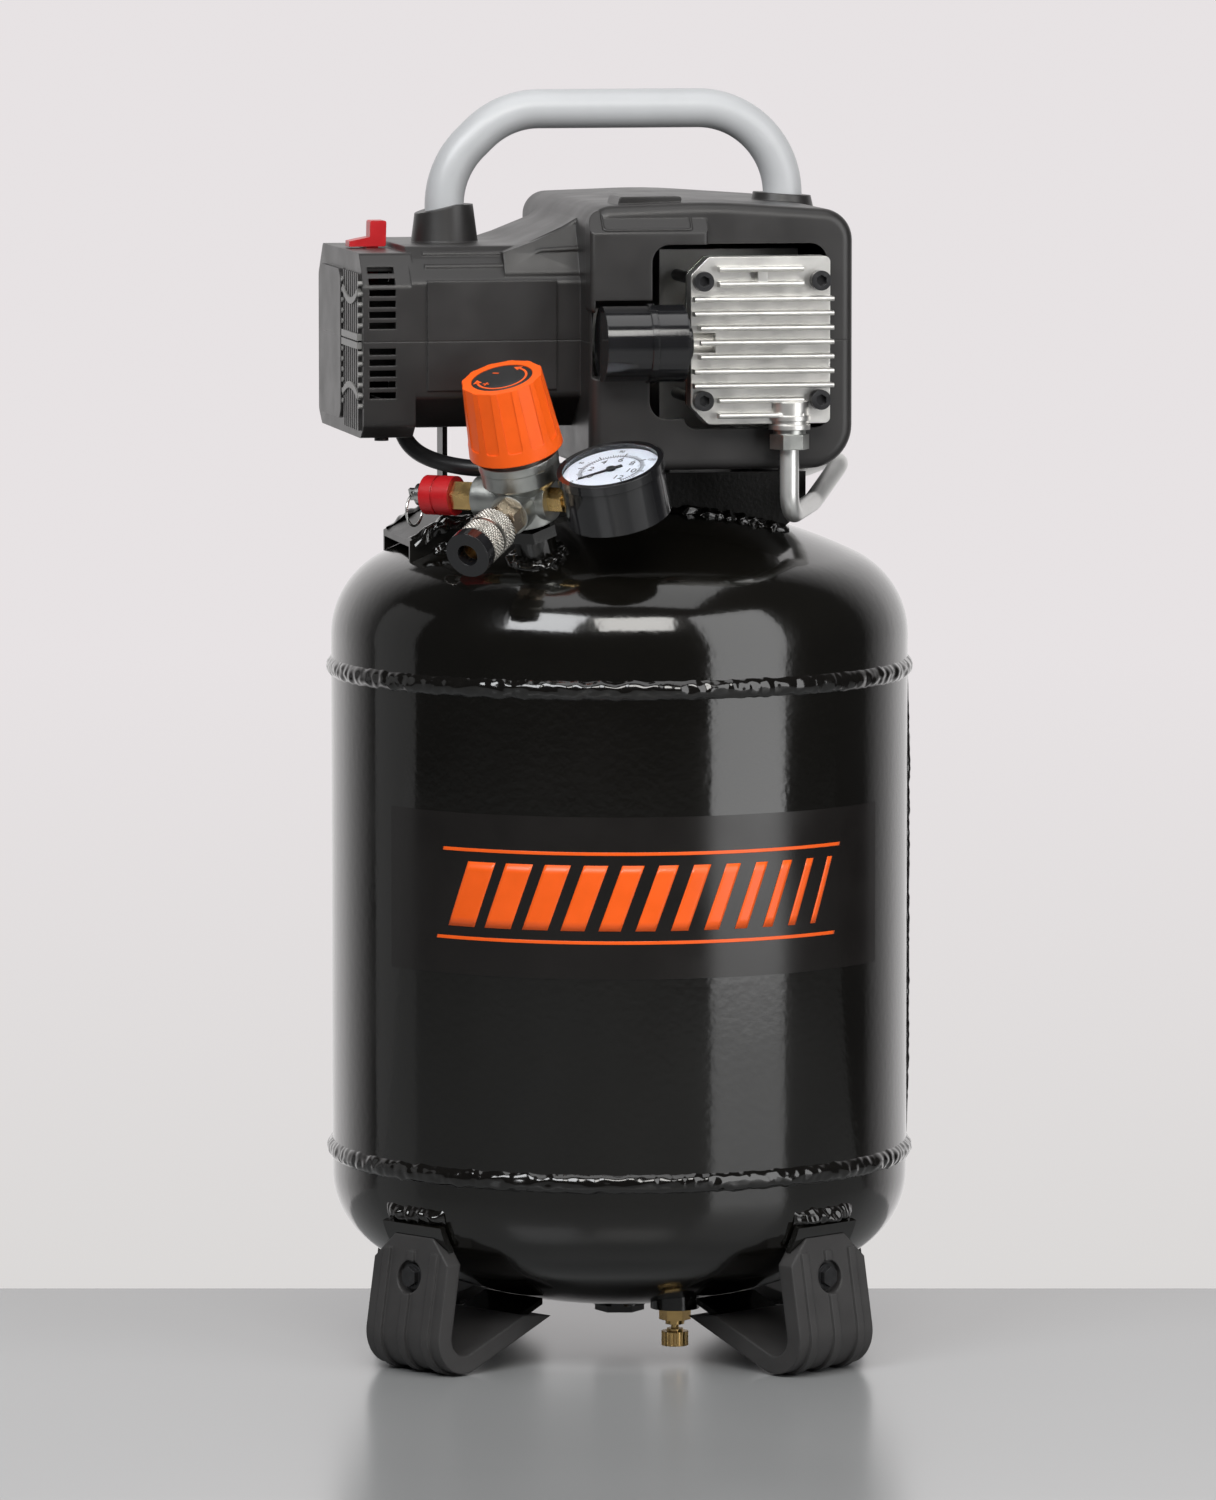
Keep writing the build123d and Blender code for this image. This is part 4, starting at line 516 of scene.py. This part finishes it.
# two lines at these heights from the label's middle, each reaching further to one side, and stripes between
LINE_NEAR, LINE_FAR, LINE_LONG, LINE_SHORT, LINE_SLANT = 0.0215, 0.0232, 0.112, 0.108, 0.0006
STRIPES, STRIPE_HALF, STRIPE_START, STRIPE_SLANT = 12, 0.0165, -0.1045, 0.012
FIRST_WIDTH, WIDTH_STEP, FIRST_GAP, GAP_STEP = 0.0155, 0.0011, 0.0058, 0.0004


def on_label(u, z):
    a = LABEL_MIDDLE + u / LABEL_R
    radius = LABEL_R + INK
    return Vector((radius * math.sin(a), -radius * math.cos(a), z))


def slanted(u0, u1, z0, z1, slant):
    """Bar between two heights whose sides lean by a slant."""
    columns = max(2, math.ceil(abs(u1 - u0) / 0.0015) + 1)
    rows = 8
    verts = []
    for i in range(columns):
        for j in range(rows):
            t = j / (rows - 1)
            u = u0 + (u1 - u0) * i / (columns - 1) + slant * t
            verts.append(on_label(u, z0 + (z1 - z0) * t))
    return verts, grid_faces(columns, rows)


def label_print():
    """Row of leaning stripes that get narrower to the right, between two lines."""
    middle = (label_low.z + label_high.z) / 2
    bars = [
        slanted(-LINE_SHORT, LINE_LONG, middle + LINE_NEAR, middle + LINE_FAR, LINE_SLANT),
        slanted(-LINE_LONG, LINE_SHORT, middle - LINE_FAR, middle - LINE_NEAR, LINE_SLANT),
    ]
    start = STRIPE_START
    for k in range(STRIPES):
        width = FIRST_WIDTH - WIDTH_STEP * k
        low, high = middle - STRIPE_HALF, middle + STRIPE_HALF
        bars.append(slanted(start, start + width, low, high, STRIPE_SLANT))
        start += width + FIRST_GAP + GAP_STEP * k
    item = piece("label_stripes", *merge(bars), M["print"])
    thick = item.modifiers.new("film", "SOLIDIFY")
    thick.thickness = INK
    thick.offset = -1


label_print()


# ------------------------------------------------------------------ pressure gauge
PRINT_THICK = 0.00008


def flat_piece(name, outlines, place, material, body=ROOT):
    """Thin printed shapes in a frame's XY plane, each a closed outline."""
    shape = bmesh.new()
    for outline in outlines:
        corners = [shape.verts.new(place @ Vector((*point, 0))) for point in outline]
        shape.faces.new(corners)
    mesh = bpy.data.meshes.new(name)
    shape.to_mesh(mesh)
    shape.free()
    item = bpy.data.objects.new(name, mesh)
    bpy.context.scene.collection.objects.link(item)
    mesh.materials.append(material)
    thick = item.modifiers.new("ink", "SOLIDIFY")
    thick.thickness = PRINT_THICK
    thick.offset = 0
    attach(item, body)


def polar_bar(angle, r0, r1, width):
    direction = Vector((math.cos(angle), math.sin(angle)))
    across = Vector((-math.sin(angle), math.cos(angle)))
    half = width / 2
    return [
        direction * r0 - across * half, direction * r1 - across * half,
        direction * r1 + across * half, direction * r0 + across * half,
    ]


def arc_band(a0, a1, r0, r1, steps=40):
    inner = [Vector((r0 * math.cos(a), r0 * math.sin(a))) for a in
             [a0 + (a1 - a0) * i / steps for i in range(steps + 1)]]
    outer = [Vector((r1 * math.cos(a), r1 * math.sin(a))) for a in
             [a1 + (a0 - a1) * i / steps for i in range(steps + 1)]]
    return inner + outer


dial_low, dial_high = extents("gauge_dial", COLUMN)
dial_middle = [(dial_low[i] + dial_high[i]) / 2 for i in (0, 1)]
DIAL = COLUMN.copy()
DIAL.translation = COLUMN @ Vector((*dial_middle, dial_high.z + INK))
ZERO, SWEEP = math.radians(225), math.radians(-270)
SCALE_R, SCALE_LINE, SCALE_START = 0.0150, 0.00025, 0.0152
LONG_TICK_R, HALF_TICK_R, SHORT_TICK_R = 0.0186, 0.0177, 0.0170
INNER_TICK_R, INNER_LONG_R = 0.0142, 0.0134
NUMBER_R, NUMBER_SIZE, OUTER_NUMBER_R, OUTER_NUMBER_SIZE = 0.0112, 0.0060, 0.0210, 0.0030
OUTER_FULL = 174


def numbers(values, radius, size, name):
    """Upright numerals round the scale, turned into one mesh."""
    made = []
    for value, share in values:
        text = bpy.data.curves.new(name, "FONT")
        text.body = str(value)
        text.size = size
        text.align_x, text.align_y = "CENTER", "CENTER"
        text.extrude = 0.00003
        item = bpy.data.objects.new(name, text)
        angle = ZERO + SWEEP * share
        spot = Matrix.Translation((radius * math.cos(angle), radius * math.sin(angle), 0))
        item.matrix_world = DIAL @ spot
        bpy.context.scene.collection.objects.link(item)
        made.append(item)
    bpy.context.view_layer.update()
    verts, faces = [], []
    graph = bpy.context.evaluated_depsgraph_get()
    for item in made:
        mesh = bpy.data.meshes.new_from_object(item.evaluated_get(graph))
        start = len(verts)
        verts += [item.matrix_world @ v.co for v in mesh.vertices]
        faces += [tuple(start + i for i in p.vertices) for p in mesh.polygons]
        bpy.data.meshes.remove(mesh)
        bpy.data.objects.remove(item)
    return piece(name, verts, faces, M["ink"], smooth=False)


def dial_print():
    """Two scales of ticks, the outer one with larger numbers inside it and smaller ones outside it."""
    ticks = [arc_band(ZERO, ZERO + SWEEP, SCALE_R, SCALE_R + SCALE_LINE, 90)]
    for i in range(61):
        angle = ZERO + SWEEP * i / 60
        long_tick = i % 10 == 0
        middle = i % 5 == 0
        reach = LONG_TICK_R if long_tick else HALF_TICK_R if middle else SHORT_TICK_R
        ticks.append(polar_bar(angle, SCALE_START, reach, 0.0006 if long_tick else 0.0003))
    for i in range(41):
        angle = ZERO + SWEEP * i / 40
        ticks.append(polar_bar(angle, INNER_TICK_R if i % 5 else INNER_LONG_R, SCALE_R, 0.00018))
    flat_piece("dial_scale", ticks, DIAL, M["ink"])
    numbers([(2 * i, i / 6) for i in range(7)], NUMBER_R, NUMBER_SIZE, "dial_numbers")
    outer = [(40 * i, 40 * i / OUTER_FULL) for i in range(5)]
    numbers(outer, OUTER_NUMBER_R, OUTER_NUMBER_SIZE, "dial_outer_numbers")


dial_print()

# ------------------------------------------------------------------ knob arrows
DISC = COLUMN.copy()
DISC.translation = COLUMN @ Vector((0, 0, extents("knob_disc", COLUMN)[1].z + INK))
ARROW_IN, ARROW_OUT, ARROW_SIZE = 0.0118, 0.0130, 0.0030
SIGN_HALF, SIGN_THIN = 0.0017, 0.0004
MINUS, PLUS = (-0.0062, 0.0052), (-0.0052, -0.0075)


def arrow_head(angle, radius, size, turn):
    tip = Vector((math.cos(angle), math.sin(angle))) * radius
    along = Vector((-math.sin(angle), math.cos(angle))) * turn
    out = Vector((math.cos(angle), math.sin(angle)))
    tail, spread_out = tip - along * size * 0.4, out * size * 0.75
    return [tip + along * size, tail + spread_out, tail - spread_out]


def flat_bar(x0, x1, y0, y1):
    return [Vector((x0, y0)), Vector((x1, y0)), Vector((x1, y1)), Vector((x0, y1))]


def knob_print():
    """Arc with an arrow at each end, a minus and a plus."""
    a0, a1 = math.radians(-150), math.radians(75)
    middle = (ARROW_IN + ARROW_OUT) / 2
    shapes = [arc_band(a0, a1, ARROW_IN, ARROW_OUT, 50)]
    shapes.append(arrow_head(a0, middle, ARROW_SIZE, -1))
    shapes.append(arrow_head(a1, middle, ARROW_SIZE, 1))
    for x, y in (MINUS, PLUS):
        shapes.append(flat_bar(x - SIGN_HALF, x + SIGN_HALF, y - SIGN_THIN, y + SIGN_THIN))
    x, y = PLUS
    shapes.append(flat_bar(x - SIGN_THIN, x + SIGN_THIN, y - SIGN_HALF, y + SIGN_HALF))
    flat_piece("knob_arrows", shapes, DISC, M["print"], body="regulator_knob")


knob_print()


# ------------------------------------------------------------------ knurled coupler sleeve
def knurled_sleeve():
    """Sleeve with crossed ridges, a plain groove and chamfered rims."""
    low, high = extents("coupler_sleeve", COLUMN)
    centre_z = (low.z + high.z) / 2
    front, back = low.y, high.y
    outer = (high.z - low.z) / 2
    around, teeth, steps = 272, 34, 92
    groove0, groove1, groove_edge = 0.42, 0.55, 0.02
    knurl_depth, chamfer, bore = 0.0008, 0.0009, 0.0088
    rows = []
    for i in range(steps + 1):
        t = i / steps
        y = back + (front - back) * t
        row = []
        rim = min(t, 1 - t) * abs(back - front)
        for k in range(around):
            a = 2 * math.pi * k / around
            if groove0 < t < groove1:
                inset = 0.0007 if groove0 + groove_edge < t < groove1 - groove_edge else 0.0004
                radius = outer - inset
            else:
                lead = y * teeth / outer
                height = abs(math.sin((teeth * a + lead) / 2)) * abs(math.sin((teeth * a - lead) / 2))
                radius = outer - knurl_depth * (1 - height)
            radius -= max(0.0, chamfer - rim) * 0.9
            row.append(COLUMN @ Vector((radius * math.cos(a), y, centre_z + radius * math.sin(a))))
        rows.append(row)
    inner = [
        [COLUMN @ Vector((bore * math.cos(2 * math.pi * k / around), y,
                          centre_z + bore * math.sin(2 * math.pi * k / around))) for k in range(around)]
        for y in (front, back)
    ]
    rows += inner
    verts = [v for row in rows for v in row]
    item = piece("knurled_sleeve", verts, grid_faces(len(rows), around, True, True), M["nickel"],
                 "coupler_sleeve", smooth=False)
    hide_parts("coupler_sleeve")


knurled_sleeve()


# ------------------------------------------------------------------ springs
# height of the regulator spring's foot in the column's frame, and what is left of it at full press
SPRING_FOOT = 0.0482
SPRING_CLEAR = 0.0005


def coil_piece(name, upper):
    """Copies the coils above or below the regulator spring's foot, with their split corners joined."""
    inverse = COLUMN.inverted()
    shape = bmesh.new()
    shape.from_mesh(NODES["valve_springs"].data)
    bmesh.ops.remove_doubles(shape, verts=shape.verts, dist=JOIN_DISTANCE)
    spare = [v for v in shape.verts if ((inverse @ v.co).z > SPRING_FOOT - SPRING_CLEAR) != upper]
    bmesh.ops.delete(shape, geom=spare, context="VERTS")
    shape.verts.index_update()
    verts = [v.co.copy() for v in shape.verts]
    faces = [tuple(v.index for v in face.verts) for face in shape.faces]
    shape.free()
    item = piece(name, verts, faces, M["steel"])
    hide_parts("valve_springs")
    return item


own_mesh(coil_piece("regulator_spring_coil", True))
coil_piece("valve_spring_coil", False)


# ------------------------------------------------------------------ trim on the motor's end wall, its light grey a painted highlight
WALL_X = -144.3
RIBS_MIDDLE_Y, RIBS_HALF = -41.0, 22.6
BAR_Y, BAR_HALF = (-64.5, -16.5), 1.7
TEETH_Y, TOOTH_PITCH = (-66.2, -16.4), 5.3


def wall_prism(outline, proud):
    """Closed prism on the end wall from an outline of (y, z) in millimetres."""
    verts = [PUMP @ (Vector((x, y, z)) * MM) for x in (WALL_X, WALL_X - proud) for y, z in outline]
    count = len(outline)
    faces = [tuple(range(count)), tuple(range(2 * count - 1, count - 1, -1))]
    faces += [(i, count + i, count + (i + 1) % count, (i + 1) % count) for i in range(count)]
    return verts, faces


def curved_band(z_middle, sag, thickness=3.2, steps=20):
    """Band across the ribs that dips or rises in its middle."""
    lower, upper = [], []
    for i in range(steps + 1):
        t = 2 * i / steps - 1
        y = RIBS_MIDDLE_Y + RIBS_HALF * t
        z = z_middle + sag * t * t
        lower.append((y, z - thickness / 2))
        upper.append((y, z + thickness / 2))
    return lower + upper[::-1]


def end_wall_trim():
    """Two curved bands, a double bar and a row of teeth at each side of the ribs, in light grey as a painted
    highlight.
    """
    shapes = [wall_prism(curved_band(541.5, 5.5), 2.5), wall_prism(curved_band(499.0, -5.0), 2.5)]
    for z in (519.9, 524.1):
        low, high = z - BAR_HALF, z + BAR_HALF
        shapes.append(wall_prism([(BAR_Y[0], low), (BAR_Y[1], low), (BAR_Y[1], high), (BAR_Y[0], high)], 2.7))
    for k in range(11):
        z = 489.5 + TOOTH_PITCH * k if k < 6 else 530.0 + TOOTH_PITCH * (k - 6)
        for y in TEETH_Y:
            tooth = [(y + 1.5 * math.cos(a), z + 1.3 * math.sin(a)) for a in
                     [2 * math.pi * i / 12 for i in range(12)]]
            shapes.append(wall_prism(tooth, 2.4))
    piece("end_wall_trim", *merge(shapes), M["end_trim_highlight"], smooth=False)


end_wall_trim()


PANEL_X, PANEL_T, PANEL_FOOT_Z, PANEL_CLIMB = (-0.026, 0.016), (0.22, 0.80), 0.577, 0.011
PANEL_CORNER_X, PANEL_CORNER_T = 0.0022, 0.14
PANEL_SLOPE = 0.0155
# inset from the outline and height over the slope
PANEL_SECTION = ((0.0, -0.0004), (0.0, 0.0005), (0.0006, 0.0007), (0.0012, 0.0005), (0.0012, -0.0004))


def block_panel():
    """Raised frame with rounded corners on the slope above the filter; t runs from its foot to its top."""
    foot = Vector((0, extents("upper_cover", PUMP)[0].y, PANEL_FOOT_Z))
    climb = Vector((0, PANEL_CLIMB, PANEL_CLIMB))
    outward = Vector((0, -1, 1)).normalized()
    middle_x, middle_t = sum(PANEL_X) / 2, sum(PANEL_T) / 2
    corners = (
        (PANEL_X[1], PANEL_T[1], 0), (PANEL_X[0], PANEL_T[1], 90),
        (PANEL_X[0], PANEL_T[0], 180), (PANEL_X[1], PANEL_T[0], 270),
    )
    outline = []
    for cx, ct, start in corners:
        for i in range(7):
            a = math.radians(start + 15 * i)
            outline.append((cx + PANEL_CORNER_X * math.cos(a), ct + PANEL_CORNER_T * math.sin(a)))
    loops = []
    for grow, lift in PANEL_SECTION:
        ring = []
        for x, t in outline:
            sx = x - grow * (1 if x > middle_x else -1)
            st = t - grow / PANEL_SLOPE * (1 if t > middle_t else -1)
            ring.append(PUMP @ (foot + climb * st + Vector((sx, 0, 0)) + outward * lift))
        loops.append(ring)
    verts = [v for ring in loops for v in ring]
    piece("block_panel", verts, grid_faces(len(loops), len(outline), True, True), M["cover"])


block_panel()


# ------------------------------------------------------------------ pressure hose
# control points in the pump's frame, in millimetres; the curve is shorter than their polygon
HOSE_POINTS = [
    (-64, -72, 457), (-84, -62, 456.5), (-102, -46, 459),
    (-114, -33, 465), (-119.5, -27, 477), (-120, -26, 490),
]
HOSE_R = 0.0042


def hose():
    """Short pressure hose from the regulator's column into the housing."""
    curve = bpy.data.curves.new("regulator_hose", "CURVE")
    curve.dimensions = "3D"
    curve.bevel_depth = HOSE_R
    curve.bevel_resolution = 6
    curve.resolution_u = 12
    curve.use_fill_caps = True
    spline = curve.splines.new("NURBS")
    points = [PUMP @ (Vector(p) * MM) for p in HOSE_POINTS]
    spline.points.add(len(points) - 1)
    for control, point in zip(spline.points, points):
        control.co = (*point, 1)
    spline.order_u = 3
    spline.use_endpoint_u = True
    item = bpy.data.objects.new("regulator_hose", curve)
    bpy.context.scene.collection.objects.link(item)
    curve.materials.append(M["hose"])
    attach(item, ROOT)
    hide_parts("pressure_hose")


hose()


# ------------------------------------------------------------------ studio
ROOM_DIM, ROOM_BRIGHT = (0.04, 0.04, 0.042, 1), (0.92, 0.90, 0.90, 1)
WALL_LOW, WALL_HIGH = (0.70, 0.685, 0.675, 1), (0.80, 0.765, 0.775, 1)
FLOOR_REACH, FLOOR_BACK, FLOOR_THICK = 3, 0.172, 0.03
CAMERA_PLACE, CAMERA_AIM = (0, -5.0, 0.808), (0, 0, 0.30)
CAMERA_LENS, CAMERA_SHIFT = 234.6, (-0.0076667, 0.0085333)
LIGHT_AIM = (0, 0, 0.32)
COOL, WARM, NEUTRAL = (0.97, 0.985, 1.0), (1.0, 0.985, 0.95), (1, 1, 1)
# name, azimuth, elevation, distance, width, height, radiance, colour
SOFTBOXES = [
    ("tall_softbox", 51, 12, 1.7, 1.0, 2.2, 3.0, NEUTRAL),
    ("left_fill", -99, 8, 2.2, 1.0, 1.8, 0.28, NEUTRAL),
    ("overhead", 0, 78, 1.7, 1.5, 1.1, 1.7, NEUTRAL),
    ("left_window", -34, 38, 2.6, 1.25, 0.95, 10.0, COOL),
    ("right_window", 7, 38, 2.6, 1.25, 0.75, 10.0, WARM),
]


def studio():
    """Pale wall to the camera, and for the light a room that is dim in front and bright behind."""
    scene = bpy.context.scene
    scene.view_settings.view_transform = "Standard"
    scene.view_settings.look = "None"
    world = bpy.data.worlds.new("studio")
    scene.world = world
    world.use_nodes = True
    tree = world.node_tree
    tree.nodes.clear()
    out = tree.nodes.new("ShaderNodeOutputWorld")
    coords = tree.nodes.new("ShaderNodeTexCoord")
    parts = tree.nodes.new("ShaderNodeSeparateXYZ")
    tree.links.new(coords.outputs["Generated"], parts.inputs["Vector"])
    room = tree.nodes.new("ShaderNodeMix")
    room.data_type = "RGBA"
    room.inputs["A"].default_value = ROOM_DIM
    room.inputs["B"].default_value = ROOM_BRIGHT
    behind = spread(tree, parts.outputs["Y"], 0.0, 1.0, 0.42, 0.82)
    tree.links.new(behind.outputs["Result"], room.inputs["Factor"])
    wall = tree.nodes.new("ShaderNodeMix")
    wall.data_type = "RGBA"
    wall.inputs["A"].default_value = WALL_LOW
    wall.inputs["B"].default_value = WALL_HIGH
    height = spread(tree, parts.outputs["Z"], 0.0, 1.0, -0.16, -0.09)
    tree.links.new(height.outputs["Result"], wall.inputs["Factor"])
    seen, lit = tree.nodes.new("ShaderNodeBackground"), tree.nodes.new("ShaderNodeBackground")
    tree.links.new(wall.outputs["Result"], seen.inputs["Color"])
    tree.links.new(room.outputs["Result"], lit.inputs["Color"])
    path = tree.nodes.new("ShaderNodeLightPath")
    choose = tree.nodes.new("ShaderNodeMixShader")
    tree.links.new(path.outputs["Is Camera Ray"], choose.inputs["Fac"])
    tree.links.new(lit.outputs["Background"], choose.inputs[1])
    tree.links.new(seen.outputs["Background"], choose.inputs[2])
    tree.links.new(choose.outputs["Shader"], out.inputs["Surface"])


def area_light(name, azimuth, elevation, distance, width, height, radiance, colour):
    """Rectangular softbox that faces a point, given the brightness of its surface."""
    light = bpy.data.lights.new(name, "AREA")
    light.shape = "RECTANGLE"
    light.size, light.size_y = width, height
    light.energy = radiance * math.pi * width * height
    light.color = colour
    item = bpy.data.objects.new(name, light)
    bpy.context.scene.collection.objects.link(item)
    a, e = math.radians(azimuth), math.radians(elevation)
    away = Vector((math.sin(a) * math.cos(e), -math.cos(a) * math.cos(e), math.sin(e)))
    item.location = Vector(LIGHT_AIM) + away * distance
    item.rotation_euler = (-away).to_track_quat("-Z", "Y").to_euler()


def floor():
    verts = [(x, y, z) for z in (0, -FLOOR_THICK) for x, y in
             ((-FLOOR_REACH, -FLOOR_REACH), (FLOOR_REACH, -FLOOR_REACH), (FLOOR_REACH, FLOOR_BACK),
              (-FLOOR_REACH, FLOOR_BACK))]
    faces = [(0, 1, 2, 3), (7, 6, 5, 4), (0, 4, 5, 1), (1, 5, 6, 2), (2, 6, 7, 3), (3, 7, 4, 0)]
    item = piece("floor", verts, faces, M["floor"], body=None, smooth=False)


def camera():
    data = bpy.data.cameras.new("camera")
    item = bpy.data.objects.new("camera", data)
    bpy.context.scene.collection.objects.link(item)
    data.sensor_width = 36.0
    data.lens = CAMERA_LENS
    data.clip_start, data.clip_end = 0.1, 100
    item.location = CAMERA_PLACE
    aim = Vector(CAMERA_AIM) - item.location
    item.rotation_euler = aim.to_track_quat("-Z", "Y").to_euler()
    data.shift_x, data.shift_y = CAMERA_SHIFT
    bpy.context.scene.camera = item


M["floor"] = finish("floor_paint", (0.285, 0.29, 0.292), 0.22, vary=0.03, rough_vary=0.03, patch=2.0,
                    grain=500, bump=0.02)
studio()
floor()
for softbox in SOFTBOXES:
    area_light(*softbox)
camera()
